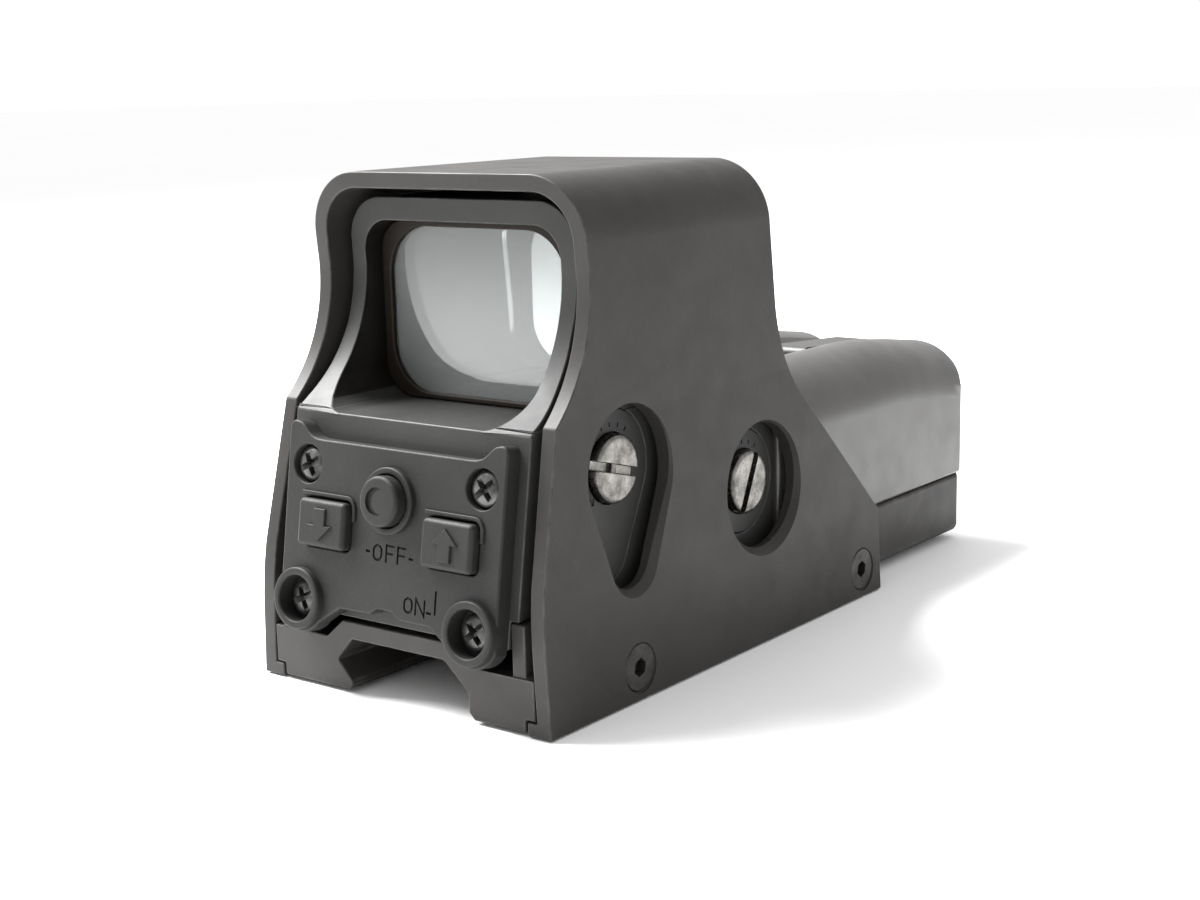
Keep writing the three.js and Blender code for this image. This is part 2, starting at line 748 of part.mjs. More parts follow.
add("hood", hood(), ANODISED);
add("optical_housing", housing(), HOUSING_GREY);

add("rear_window", pane(0), GLASS, layout, [0, PANE.rearY, 0]);
add("rear_window_seal", bezel(0.8), PLASTIC, layout, [0, PANE.rearY - 0.9, 0]);
const lensTilt = 2.2; // the reflector leans by this much at its top
const lens = add("front_lens", pane(0.6), GLASS, layout, [0, PANE.frontY, 0]);
lens.rotation.x = Math.atan(lensTilt / (TUNNEL.top - TUNNEL.bottom));
lens.position.y += TUNNEL.bottom * Math.sin(lens.rotation.x);
lens.position.z = TUNNEL.bottom * (1 - Math.cos(lens.rotation.x)) - 0.05;
add("front_lens_seal", bezel(1.2), PLASTIC, layout, [0, WINDOW_BLOCK.front - 1.3, 0]);

add("keypad_pad", keypadPad(), RUBBER, rearFace);
add("down_button", squareKey(-1), RUBBER, rearFace);
add("up_button", squareKey(1), RUBBER, rearFace);
add("moon_button", roundKey(), RUBBER, rearFace);
const keypadScrews = [
  [-TOP_SCREW.x, TOP_SCREW.up],
  [TOP_SCREW.x, TOP_SCREW.up],
  [-LOW_SCREW.x, LOW_SCREW.up],
  [LOW_SCREW.x, LOW_SCREW.up],
];
keypadScrews.forEach(([x, up], i) => {
  add("keypad_screw_" + (i + 1), crossScrew(), BLACK_STEEL, rearFace, [x, 0, up]);
});
add("switch_board", prism(switchRecess(0.3), "y", 4.4, 5.4), BOARD, rearFace);
const domes = [[-KEY.x, KEY.up], [KEY.x, KEY.up], [0, ROUND_KEY.up]];
domes.forEach(([x, up], i) => {
  add("dome_switch_" + (i + 1), domeSwitch(), STEEL, rearFace, [x, 0, up]);
});

add("elevation_screw", adjuster(ELEVATION), STEEL, layout, [0, ELEVATION.y, ELEVATION.z]);
add("windage_screw", adjuster(WINDAGE), STEEL, layout, [0, WINDAGE.y, WINDAGE.z]);
add("elevation_dial", dial(teardrop(-DIAL.inset), ELEVATION), HOUSING_GREY);
add("windage_dial", dial(arc(WINDAGE.y, WINDAGE.z, DIAL.r, 0, 350, 35), WINDAGE), HOUSING_GREY);

add("elevation_carriage", elevationCarriage(), PLASTIC);
add("emitter_block", emitterBlock(), PLASTIC);
add("emitter_led", emitterLed(), finish(0xd8d0c8, 0.2));
add("reticle_mask", reticleMask(), BLACK_STEEL);
add("control_board", box(-14, 14, 11, 48.5, 10.6, 11.8), BOARD);

add("rail_base", railBase(), ANODISED);
add("clamp_jaw", clampJaw(), ANODISED);
add("clamp_screw", clampScrew(), BLACK_STEEL, layout, [CLAMP.headX, CLAMP.y, CLAMP.z]);
add("clamp_washer", washer(), STEEL, layout, [CLAMP.headX + 0.15, CLAMP.y, CLAMP.z]);
const hoodScrews = [
  [1, SIDE_SCREWS.rearY],
  [1, SIDE_SCREWS.frontY],
  [-1, SIDE_SCREWS.rearY],
  [-1, SIDE_SCREWS.frontY],
];
hoodScrews.forEach(([side, y], i) => {
  const at = [side * (HOOD.footHalf - 0.3), y, SIDE_SCREWS.z];
  const screw = add("hood_screw_" + (i + 1), sideScrew(), BLACK_STEEL, layout, at);
  if (side < 0) screw.rotation.z = Math.PI;
});
add("base_screw_1", countersunk(5, 0), BLACK_STEEL);
add("base_screw_2", countersunk(52.6, 0), BLACK_STEEL);

add("front_tray", frontTray(), ANODISED);
add("battery_tube", batteryTube(), PLASTIC);
add("battery_cap", batteryCap(), ANODISED);
[-1, 1].forEach((side, i) => {
  const number = i + 1;
  add("cell_spring_" + number, cellSpring(), GOLD, layout, [side * CELL.x, 57.75, CELL.z]);
  const battery = add("battery_cell_" + number, cell(), STEEL, layout, [side * CELL.x, CELL.rear, CELL.z]);
  if (side > 0) {
    battery.rotation.z = Math.PI;
    battery.position.y = CELL.rear + CELL.length;
  }
});
add("cap_contact", box(-16, 16, 110.7, 111.1, 17, 27), GOLD);
add("latch_lever", latchLever(), PLASTIC);
add("latch_pin", rod(LATCH.pinR, -5.7, 5.7, "x", [0, LATCH.pivotY, LATCH.pivotZ], 16), STEEL);

layout.position.set(0, -CLAMP.y, -RAIL.roof);

export default sight;
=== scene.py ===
import json
import math

import bmesh
import bpy
from mathutils import Matrix, Vector


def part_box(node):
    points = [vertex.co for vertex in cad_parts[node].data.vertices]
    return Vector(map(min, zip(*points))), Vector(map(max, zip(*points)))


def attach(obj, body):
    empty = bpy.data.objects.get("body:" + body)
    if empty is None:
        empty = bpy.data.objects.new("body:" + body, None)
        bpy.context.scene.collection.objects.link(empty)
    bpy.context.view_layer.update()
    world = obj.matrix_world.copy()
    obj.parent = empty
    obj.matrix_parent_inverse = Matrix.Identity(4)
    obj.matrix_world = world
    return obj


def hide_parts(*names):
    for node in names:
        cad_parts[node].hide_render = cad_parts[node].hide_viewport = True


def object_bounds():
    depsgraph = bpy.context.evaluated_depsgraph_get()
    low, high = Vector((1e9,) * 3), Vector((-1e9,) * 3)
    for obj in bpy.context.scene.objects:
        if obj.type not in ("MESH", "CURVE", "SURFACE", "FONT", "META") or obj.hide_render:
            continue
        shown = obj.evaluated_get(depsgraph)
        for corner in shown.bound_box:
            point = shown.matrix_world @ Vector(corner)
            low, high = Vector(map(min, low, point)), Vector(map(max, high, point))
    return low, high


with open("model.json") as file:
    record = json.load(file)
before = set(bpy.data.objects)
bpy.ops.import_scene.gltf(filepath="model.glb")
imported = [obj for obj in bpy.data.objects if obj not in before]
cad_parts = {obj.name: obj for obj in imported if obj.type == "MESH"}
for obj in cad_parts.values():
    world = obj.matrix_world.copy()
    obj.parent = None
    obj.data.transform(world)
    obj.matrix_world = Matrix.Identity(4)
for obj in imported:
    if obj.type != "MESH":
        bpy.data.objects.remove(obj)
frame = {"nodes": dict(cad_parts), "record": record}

CAD_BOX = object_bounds()
RECORD = frame["record"]
BODY_OF = {node: body for body, nodes in RECORD["behaviour"]["bodies"].items() for node in nodes}
SLOT_OF = {row["node"]: row["material_slot"] for row in RECORD["subparts"]}

MM = 0.001
HOOD_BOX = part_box("hood")
ORIGIN = Vector((0.0, HOOD_BOX[0].y, HOOD_BOX[0].z))


def box_of(node):
    """Lowest and highest corner of a CAD node, in the drawing's millimetres."""
    low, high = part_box(node)
    return (low - ORIGIN) / MM, (high - ORIGIN) / MM


def centre_of(node):
    low, high = box_of(node)
    return (low + high) / 2


# Outlines are lists of points in a plane.

def arc(cx, cy, r, start, end, step=4.0):
    steps = max(2, round(abs(end - start) / step))
    angles = [math.radians(start + (end - start) * i / steps) for i in range(steps + 1)]
    return [(cx + r * math.cos(a), cy + r * math.sin(a)) for a in angles]


def circle(cx, cy, r, step=4.0):
    return arc(cx, cy, r, 0, 360, step)[:-1]


def mirrored(right):
    return right + [(-x, y) for x, y in reversed(right)]


def rounded_rectangle(x0, y0, x1, y1, r, step=10.0):
    return [
        *arc(x1 - r, y1 - r, r, 0, 90, step),
        *arc(x0 + r, y1 - r, r, 90, 180, step),
        *arc(x0 + r, y0 + r, r, 180, 270, step),
        *arc(x1 - r, y0 + r, r, 270, 360, step),
    ]


def window_outline(half, bottom, top, low_corner, high_corner):
    return mirrored([
        *arc(half - low_corner, bottom + low_corner, low_corner, -90, 0),
        *arc(half - high_corner, top - high_corner, high_corner, 0, 90),
    ])


# Solids.

def solid(points, faces):
    mesh = bpy.data.meshes.new("solid")
    mesh.from_pydata(points, [], faces)
    bm = bmesh.new()
    bm.from_mesh(mesh)
    bmesh.ops.remove_doubles(bm, verts=bm.verts, dist=1e-4)
    bmesh.ops.recalc_face_normals(bm, faces=bm.faces)
    bm.to_mesh(mesh)
    bm.free()
    made = bpy.data.objects.new("solid", mesh)
    bpy.context.scene.collection.objects.link(made)
    return made


AXES = {
    "x": lambda u, v, w: (w, u, v),
    "y": lambda u, v, w: (u, w, v),
    "z": lambda u, v, w: (u, v, w),
}


def loft(stations, axis):
    """A solid through outlines of as many points, each given with its place along the axis."""
    count = len(stations[0][1])
    last = (len(stations) - 1) * count
    points = [AXES[axis](u, v, at) for at, outline in stations for u, v in outline]
    faces = [tuple(range(count)), tuple(range(last, last + count))]
    for ring in range(0, last, count):
        for i in range(count):
            j = (i + 1) % count
            faces.append((ring + i, ring + j, ring + count + j, ring + count + i))
    return solid(points, faces)


def prism(outline, axis, start, end):
    return loft([(start, outline), (end, outline)], axis)


def fillet(r, steps=4):
    """Points of a rounded edge, as (distance in from the side, depth under the face)."""
    angles = [math.pi / 2 * i / steps for i in range(steps + 1)]
    return [(r * (1 - math.sin(a)), r * (1 - math.cos(a))) for a in angles]


def inset(outline, distance):
    """An outline moved inwards."""
    count = len(outline)
    points = [Vector(p) for p in outline]
    twice_area = sum(points[i - 1].cross(points[i]) for i in range(count))
    moved = []
    for i, p in enumerate(points):
        before = (p - points[i - 1]).normalized()
        after = (points[(i + 1) % count] - p).normalized()
        inwards = Vector((-before.y, before.x)) * math.copysign(1, twice_area)
        across = Vector((-before.y - after.y, before.x + after.x)).normalized() * math.copysign(1, twice_area)
        moved.append(tuple(p + across * distance / max(0.5, across.dot(inwards))))
    return moved


def rounded(outline, axis, face, back, r):
    """A prism whose edges round its face are rounded."""
    way = math.copysign(1, back - face)
    stations = [(face + way * deep, inset(outline, side)) for side, deep in fillet(r)]
    return loft([*stations, (back, outline)], axis)


def block(x0, x1, y0, y1, z0, z1):
    return prism([(x0, y0), (x1, y0), (x1, y1), (x0, y1)], "z", z0, z1)


def turned(profile, axis, at=(0, 0, 0), segments=72, closed=False):
    """Turns (radius, distance along the axis) pairs about an axis through a point."""
    place = AXES[axis]
    points, rings, faces = [], [], []
    for r, along in profile:
        count = segments if r > 1e-6 else 1
        rings.append([len(points) + i for i in range(count)])
        for i in range(count):
            a = 2 * math.pi * i / segments
            points.append(Vector(place(r * math.cos(a), r * math.sin(a), along)) + Vector(at))
    pairs = list(zip(rings, rings[1:]))
    if closed:
        pairs.append((rings[-1], rings[0]))
    for a, b in pairs:
        if len(a) == len(b) == 1:
            continue
        for i in range(segments):
            j = (i + 1) % segments
            face = [a[i % len(a)], a[j % len(a)], b[j % len(b)], b[i % len(b)]]
            faces.append(tuple(dict.fromkeys(face)))
    return solid(points, faces)


def boss(r, face, back, edge, axis, at):
    """A round boss with a rounded edge."""
    curve = [(r - side, face + deep) for side, deep in fillet(edge)]
    return turned([(0, face), *curve, (r, back), (0, back)], axis, at)


def well(r, face, back, edge, axis, at):
    """A tool that bores a round hole with a rounded mouth."""
    curve = [(r + side, face + deep) for side, deep in fillet(edge)]
    return turned([(0, face - 5), (r + edge, face - 5), *curve, (r, back), (0, back)], axis, at)


def rod(r, start, end, axis, at=(0, 0, 0), segments=72):
    return turned([(0, start), (r, start), (r, end), (0, end)], axis, at, segments)


def ribbon(line, width):
    """The outline of a stroke of even width along a line of points."""
    points = [Vector(p) for p in line]
    left, right = [], []
    for i, p in enumerate(points):
        after = (points[min(i + 1, len(points) - 1)] - p).normalized()
        before = (p - points[max(i - 1, 0)]).normalized()
        before, after = before if i else after, after if i < len(points) - 1 else before
        across = Vector((-before.y - after.y, before.x + after.x)).normalized()
        reach = width / 2 / max(0.4, across.dot(Vector((-before.y, before.x))))
        left.append(tuple(p + across * reach))
        right.append(tuple(p - across * reach))
    return left + right[::-1]


def freeze(piece):
    """Replaces a piece's mesh by what its modifiers make of it."""
    graph = bpy.context.evaluated_depsgraph_get()
    made = bpy.data.meshes.new_from_object(piece.evaluated_get(graph))
    piece.modifiers.clear()
    old, piece.data = piece.data, made
    bpy.data.meshes.remove(old)
    return piece


def combine(operation, base, tools):
    for tool in tools:
        step = base.modifiers.new("combine", "BOOLEAN")
        step.operation = operation
        step.solver = "EXACT"
        step.object = tool
    freeze(base)
    for tool in tools:
        mesh = tool.data
        bpy.data.objects.remove(tool)
        bpy.data.meshes.remove(mesh)
    return base


def cut(base, *tools):
    return combine("DIFFERENCE", base, tools)


def join(base, *others):
    return combine("UNION", base, others)


def common(base, *others):
    return combine("INTERSECT", base, others)


def copy_of(node):
    """A CAD node's own shape as a new solid."""
    bm = bmesh.new()
    bm.from_mesh(frame["nodes"][node].data)
    bmesh.ops.transform(bm, matrix=Matrix.Scale(1 / MM, 4) @ Matrix.Translation(-ORIGIN), verts=bm.verts)
    bmesh.ops.remove_doubles(bm, verts=bm.verts, dist=2e-3)
    mesh = bpy.data.meshes.new(node)
    bm.to_mesh(mesh)
    bm.free()
    made = bpy.data.objects.new(node + "_copy", mesh)
    bpy.context.scene.collection.objects.link(made)
    return made


def clean(piece, planar):
    """Welds stray points and merges the faces that lie in one plane."""
    bm = bmesh.new()
    bm.from_mesh(piece.data)
    bmesh.ops.remove_doubles(bm, verts=bm.verts, dist=2e-3)
    bmesh.ops.dissolve_degenerate(bm, dist=1e-3, edges=bm.edges)
    bmesh.ops.dissolve_limit(
        bm, angle_limit=math.radians(planar), use_dissolve_boundaries=False,
        verts=bm.verts, edges=bm.edges,
    )
    bm.to_mesh(piece.data)
    bm.free()


def round_edges(piece, width, sharper_than=30.0, segments=3, planar=0.4):
    """Rounds the sharp edges and marks the rounded faces in an attribute named edge."""
    clean(piece, planar)
    piece.data.materials.clear()
    for name in ("flat", "edge"):
        piece.data.materials.append(bpy.data.materials.get(name) or bpy.data.materials.new(name))
    piece.data.polygons.foreach_set("material_index", [0] * len(piece.data.polygons))
    bevel = piece.modifiers.new("round", "BEVEL")
    bevel.width = width
    bevel.segments = segments
    bevel.limit_method = "ANGLE"
    bevel.angle_limit = math.radians(sharper_than)
    bevel.use_clamp_overlap = False
    bevel.miter_outer = "MITER_ARC"
    bevel.material = 1
    freeze(piece)
    mesh = piece.data
    faces = len(mesh.polygons)
    index = [0] * faces
    mesh.polygons.foreach_get("material_index", index)
    marked = mesh.attributes.new("edge", "FLOAT", "FACE")
    marked.data.foreach_set("value", [float(i) for i in index])
    mesh.polygons.foreach_set("material_index", [0] * faces)
    mesh.materials.clear()
    return piece


def smooth(piece, angle=32.0):
    piece.data.shade_smooth()
    piece.data.set_sharp_from_angle(angle=math.radians(angle))
    even = piece.modifiers.new("even", "WEIGHTED_NORMAL")
    even.keep_sharp = True
    even.weight = 80


def place(piece, node, material=None, name=None, transform=None, also=()):
    """Puts a finished drawing in the row frame in the place of its CAD node."""
    matrix = Matrix.Translation(ORIGIN) @ Matrix.Scale(MM, 4)
    piece.data.transform(matrix @ transform if transform else matrix)
    piece.data.update()
    piece.name = name or node + "_surface"
    piece.data.name = piece.name
    piece.data.materials.clear()
    piece.data.materials.append(material or MATERIALS[SLOT_OF[node]])
    smooth(piece)
    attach(piece, BODY_OF[node])
    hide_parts(node, *also)
    return piece


# Materials.

def add_node(tree, kind, sockets=None, **settings):
    made = tree.nodes.new(kind)
    for key, value in settings.items():
        setattr(made, key, value)
    for key, value in (sockets or {}).items():
        if isinstance(value, bpy.types.NodeSocket):
            tree.links.new(value, made.inputs[key])
        else:
            made.inputs[key].default_value = value
    return made


def noise(tree, coordinates, scale, detail=2.0, rough=0.5):
    sockets = {"Vector": coordinates, "Scale": scale, "Detail": detail, "Roughness": rough}
    return add_node(tree, "ShaderNodeTexNoise", sockets).outputs["Fac"]


def spread(tree, value, low, high, to_low=0.0, to_high=1.0):
    sockets = {"Value": value, "From Min": low, "From Max": high, "To Min": to_low, "To Max": to_high}
    return add_node(tree, "ShaderNodeMapRange", sockets).outputs["Result"]


def mix_colours(tree, factor, first, second):
    made = add_node(tree, "ShaderNodeMix", data_type="RGBA")
    for index, value in ((0, factor), (6, first), (7, second)):
        if isinstance(value, bpy.types.NodeSocket):
            tree.links.new(value, made.inputs[index])
        else:
            made.inputs[index].default_value = (*value, 1.0) if index else value
    return made.outputs[2]


def multiply(tree, first, second):
    made = add_node(tree, "ShaderNodeMath", {0: first, 1: second}, operation="MULTIPLY")
    return made.outputs[0]


def new_material(name, **constants):
    """A material with its shader's constant values set, its tree, its shader and its coordinates."""
    material = bpy.data.materials.new(name)
    material.use_nodes = True
    tree = material.node_tree
    shader = tree.nodes["Principled BSDF"]
    for key, value in constants.items():
        shader.inputs[key.replace("_", " ")].default_value = value
    coordinates = add_node(tree, "ShaderNodeTexCoord").outputs["Object"]
    return material, tree, shader, coordinates


def finish_surface(tree, shader, colour, rough, height, strength, distance):
    tree.links.new(colour, shader.inputs["Base Color"])
    tree.links.new(rough, shader.inputs["Roughness"])
    sockets = {"Height": height, "Strength": strength, "Distance": distance}
    bump = add_node(tree, "ShaderNodeBump", sockets)
    tree.links.new(bump.outputs["Normal"], shader.inputs["Normal"])


def blasted_metal(name, dark, light, wear_and_highlight, rough, level, grain=0.3):
    """Bead-blasted and coated metal: a fine grain, faint cloudiness, and rounded edges made lighter, partly
    as wear and partly as a painted highlight.
    """
    material, tree, shader, at = new_material(name, Specular_IOR_Level=level)
    cloud = noise(tree, at, 55.0, 3.0)
    grit = noise(tree, at, 4200.0, 2.0, 0.6)
    speck = noise(tree, at, 1500.0, 4.0, 0.7)
    colour = mix_colours(tree, spread(tree, cloud, 0.35, 0.65), dark, light)
    colour = mix_colours(tree, spread(tree, speck, 0.55, 0.8, 0.0, 0.2), colour, [2.0 * c for c in light])
    # Rounded edges are made lighter in noisy patches: partly edge wear, partly a painted highlight.
    edge = add_node(tree, "ShaderNodeAttribute", attribute_name="edge").outputs["Fac"]
    edge_wear_and_highlight = multiply(tree, edge, spread(tree, noise(tree, at, 260.0, 5.0, 0.65), 0.42, 0.8, 0.1, 0.7))
    colour = mix_colours(tree, edge_wear_and_highlight, colour, wear_and_highlight)
    # Painted shade: the faces marked as the tunnel's sides and roof are coloured near black.
    inside = add_node(tree, "ShaderNodeAttribute", attribute_name="inside").outputs["Fac"]
    colour = mix_colours(tree, inside, colour, (0.006, 0.005, 0.004))
    roughness = spread(tree, noise(tree, at, 240.0, 4.0), 0.3, 0.7, rough - 0.05, rough + 0.05)
    finish_surface(tree, shader, colour, roughness, grit, grain, 0.00006)
    return material


def moulded(name, dark, light, rough, grain, scale, **constants):
    """Moulded rubber or plastic: fine texture, dusty patches, and edges made lighter, partly as wear and
    partly as a painted highlight.
    """
    material, tree, shader, at = new_material(name, **constants)
    cloud = noise(tree, at, 120.0, 4.0, 0.6)
    grit = noise(tree, at, scale, 3.0, 0.6)
    dust = noise(tree, at, 700.0, 6.0, 0.7)
    colour = mix_colours(tree, spread(tree, cloud, 0.35, 0.65), dark, light)
    colour = mix_colours(tree, spread(tree, dust, 0.62, 0.8, 0.0, 0.35), colour, [3.0 * c for c in light])
    # Rounded edges are made lighter where the dust noise is high: partly wear, partly a painted highlight.
    edge = add_node(tree, "ShaderNodeAttribute", attribute_name="edge").outputs["Fac"]
    colour = mix_colours(tree, multiply(tree, edge, spread(tree, dust, 0.4, 0.7, 0.0, 0.5)),
                         colour, [1.9 * c for c in light])
    roughness = spread(tree, grit, 0.3, 0.7, rough - 0.08, rough + 0.05)
    finish_surface(tree, shader, colour, roughness, grit, grain, 0.00005)
    return material


TOOL_MARKS_PER_METRE = 42000.0


def machined(name, dark, light, rough, centre=(0, 0, 0), across=(1, 1, 1), metallic=1.0):
    """Turned metal: concentric tool marks round a centre, light scratches and dull patches."""
    material, tree, shader, at = new_material(name, Metallic=metallic)
    shifted = add_node(tree, "ShaderNodeVectorMath", {0: at, 1: centre}, operation="SUBTRACT").outputs[0]
    flat = add_node(tree, "ShaderNodeVectorMath", {0: shifted, 1: across}, operation="MULTIPLY").outputs[0]
    radius = add_node(tree, "ShaderNodeVectorMath", {0: flat}, operation="LENGTH").outputs["Value"]
    turns = multiply(tree, radius, TOOL_MARKS_PER_METRE)
    waves = add_node(tree, "ShaderNodeMath", {0: turns}, operation="SINE").outputs[0]
    patch = noise(tree, at, 380.0, 5.0, 0.65)
    marks = noise(tree, at, 2600.0, 3.0, 0.6)
    colour = mix_colours(tree, spread(tree, patch, 0.35, 0.7), dark, light)
    roughness = spread(tree, marks, 0.3, 0.7, rough - 0.08, rough + 0.12)
    scratches = multiply(tree, marks, 2.0)
    height = add_node(tree, "ShaderNodeMath", {0: waves, 1: scratches}, operation="ADD").outputs[0]
    finish_surface(tree, shader, colour, roughness, height, 0.2, 0.00001)
    return material


def coated_glass(name, tint, ior, clear):
    """Coated glass: an even mirror over a faint haze, with a little cloud in its tint and the odd smear."""
    material, tree, shader, at = new_material(name, IOR=ior, Transmission_Weight=clear)
    cloud = spread(tree, noise(tree, at, 30.0, 3.0), 0.3, 0.7)
    colour = mix_colours(tree, cloud, tint, [1.03 * c for c in tint])
    smear = noise(tree, at, 90.0, 4.0)
    finish_surface(tree, shader, colour, spread(tree, smear, 0.5, 0.8, 0.0, 0.02), smear, 0.002, 0.00001)
    return material


def banded_cell(name):
    """A cell's shrink wrap: a dark body with a light band and bright metal ends, by distance along it."""
    material, tree, shader, at = new_material(name)
    along = add_node(tree, "ShaderNodeSeparateXYZ", {0: at}).outputs["Y"]
    low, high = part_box("battery_cell_1")
    part = spread(tree, along, low.y, high.y)
    ramp = add_node(tree, "ShaderNodeValToRGB", {"Fac": part})
    ramp.color_ramp.interpolation = "CONSTANT"
    stops = ((0.0, (0.5, 0.5, 0.5)), (0.03, (0.03, 0.045, 0.08)), (0.7, (0.55, 0.5, 0.42)),
             (0.73, (0.03, 0.045, 0.08)), (0.965, (0.6, 0.6, 0.6)))
    while len(ramp.color_ramp.elements) < len(stops):
        ramp.color_ramp.elements.new(0.5)
    for element, (position, colour) in zip(ramp.color_ramp.elements, stops):
        element.position = position
        element.color = (*colour, 1.0)
    scuff = noise(tree, at, 500.0, 5.0, 0.65)
    wear_and_highlight = spread(tree, scuff, 0.55, 0.8, 0.0, 0.3)
    colour = mix_colours(tree, wear_and_highlight, ramp.outputs["Color"], (0.3, 0.3, 0.3))
    roughness = spread(tree, scuff, 0.3, 0.7, 0.22, 0.4)
    finish_surface(tree, shader, colour, roughness, scuff, 0.08, 0.00002)
    return material


def circuit(name):
    """Green solder mask with faint copper tracks under it."""
    material, tree, shader, at = new_material(name)
    lines = add_node(tree, "ShaderNodeTexBrick", {"Vector": at, "Scale": 260.0, "Mortar Size": 0.06,
                                                   "Color1": (0.01, 0.09, 0.035, 1),
                                                   "Color2": (0.012, 0.1, 0.04, 1),
                                                   "Mortar": (0.05, 0.2, 0.07, 1)})
    grit = noise(tree, at, 900.0, 3.0)
    dust = spread(tree, grit, 0.5, 0.8, 0.0, 0.2)
    colour = mix_colours(tree, dust, lines.outputs["Color"], (0.1, 0.3, 0.14))
    roughness = spread(tree, grit, 0.3, 0.7, 0.25, 0.4)
    finish_surface(tree, shader, colour, roughness, lines.outputs["Fac"], 0.2, 0.00003)
    return material


MATERIALS = {
    "anodised_shell": blasted_metal("anodised_shell", (0.022, 0.0205, 0.0192), (0.028, 0.0262, 0.0246),
                                    (0.085, 0.082, 0.077), 0.46, 0.16),
    "housing_metal": blasted_metal("housing_metal", (0.021, 0.021, 0.0202), (0.027, 0.027, 0.026),
                                   (0.08, 0.08, 0.078), 0.46, 0.16),
    # The shell's finish again for the cap, in lighter colours: painted light for the extra light the cap
    # catches. It is also smoother and shinier.
    "cap_metal": blasted_metal("cap_metal", (0.036, 0.034, 0.0325), (0.044, 0.042, 0.040),
                               (0.11, 0.107, 0.10), 0.36, 0.5),
    "window_glass": coated_glass("window_glass", (0.61, 0.635, 0.63), 1.5, 0.84),
    "bezel_plastic": moulded("bezel_plastic", (0.007, 0.005, 0.004), (0.010, 0.007, 0.005), 0.6, 0.2, 3000.0,
                             Specular_IOR_Level=0.15),
    "keypad_rubber": moulded("keypad_rubber", (0.0095, 0.0095, 0.009), (0.013, 0.013, 0.0122),
                             0.6, 0.35, 2600.0,
                             Specular_IOR_Level=0.2),
    "screw_steel": machined("screw_steel", (0.03, 0.029, 0.028), (0.07, 0.067, 0.064), 0.4, metallic=0.8),
    "bright_steel": machined("bright_steel", (0.15, 0.142, 0.13), (0.3, 0.29, 0.27), 0.34),
    "circuit_board": circuit("circuit_board"),
    "clear_resin": moulded("clear_resin", (0.55, 0.3, 0.27), (0.62, 0.36, 0.32), 0.2, 0.05, 900.0),
    "black_plastic": moulded("black_plastic", (0.022, 0.021, 0.020), (0.030, 0.029, 0.028),
                             0.5, 0.25, 1900.0),
    "contact_brass": machined("contact_brass", (0.45, 0.30, 0.10), (0.62, 0.45, 0.18), 0.3),
    "cell_wrap": banded_cell("cell_wrap"),
}

# Hood.

HOOD_LENGTH, HOOD_HEIGHT, HOOD_WALL, HOOD_CORNER = 78.0, 64.3, 2.1, 8.0
FOOT_HALF, SHOULDER_HALF, TOP_HALF, SHOULDER_Z = 24.0, 22.3, 22.2, 35.7
OPENING_LIP = 0.8


def hood_section(inset):
    foot = [(20.45, -1), (20.45, 1.7)] if inset else []
    return mirrored([
        *foot,
        (FOOT_HALF - inset, 1.7 if inset else 0),
        (SHOULDER_HALF - inset, SHOULDER_Z),
        *arc(TOP_HALF - HOOD_CORNER, HOOD_HEIGHT - HOOD_CORNER, HOOD_CORNER - inset, 0, 90, 3.0),
    ])


def hood_side_view():
    rear = [(0, 0), (0, 10.5), (0.15, 14), (0.6, 17.5), *arc(-9.2, 51.5, 21, -48.4, 8, 2.5), (10.6, 65.3)]
    front = [(49.8, 65.3), *arc(74.8, 48, 23, 187, 225, 2.5), (HOOD_LENGTH, 12.2), (HOOD_LENGTH, 0)]
    return rear + front


# Centre and radius of the teardrop's large circle, then of its small one; then those of the round opening.
TEARDROP = (18.5, 28.4, 8.3, 18.2, 17.8, 4.0)
ROUND_OPENING = (47.8, 21.2, 8.5)


def teardrop(grow, step=4.0):
    """A large circle over a small one, with their common tangents."""
    y, z, r, low_y, low_z, low_r = TEARDROP
    towards = math.degrees(math.atan2(low_z - z, low_y - y))
    span = math.degrees(math.acos((r - low_r) / math.hypot(low_y - y, low_z - z)))
    large = arc(y, z, r + grow, towards + span, towards - span + 360, step)
    return large + arc(low_y, low_z, low_r + grow, towards - span, towards + span, step * 2)


def round_opening(grow):
    y, z, r = ROUND_OPENING
    return circle(y, z, r + grow)


def lipped_opening(outline):
    skin, outside = 22.9, 26.0
    through = prism(outline(0), "x", 15, outside)
    flare = loft([(skin - 2 * OPENING_LIP, outline(-OPENING_LIP)), (outside, outline(outside - skin))], "x")
    return [through, flare]


def countersink(node):
    """The seat of a hood screw, on the side the screw is on."""
    at = centre_of(node)
    side = math.copysign(1, at.x)
    skin, head, shank = FOOT_HALF - 0.2, 3.2, 1.65
    profile = [(0, 15), (shank, 15), (shank, skin - 1.7), (head, skin - 0.1), (head, 30), (0, 30)]
    return turned([(r, side * x) for r, x in profile], "x", (0, at.y, at.z), 48)


HOOD_SCREWS = ["hood_screw_%d" % i for i in (1, 2, 3, 4)]


def build_hood():
    section, hollow = hood_section(0), hood_section(HOOD_WALL)
    shell = cut(prism(section, "y", -5, HOOD_LENGTH + 5), prism(hollow, "y", -6, HOOD_LENGTH + 6))
    round_edges(common(shell, prism(hood_side_view(), "x", -30, 30)), 0.22)
    screw = centre_of("clamp_screw")
    tools = [*lipped_opening(teardrop), *lipped_opening(round_opening), *map(countersink, HOOD_SCREWS)]
    cut(shell, *tools, rod(1.9, -30, -15, "x", (0, screw.y, screw.z)))
    place(shell, "hood")


# Optical housing.

KEYPAD_TILT, KEYPAD_Y, KEYPAD_Z, PAD_THICKNESS = 9.03, -2.1, 12.0, 2.2
REAR_FACE = Matrix.Translation((0, KEYPAD_Y, KEYPAD_Z)) @ Matrix.Rotation(-math.radians(KEYPAD_TILT), 4, "X")
HOUSING_HALF, HOUSING_TOP, HOUSING_FRONT = 19.3, 35.2, 55.6
DIAL_SEAT = HOUSING_HALF - 0.8


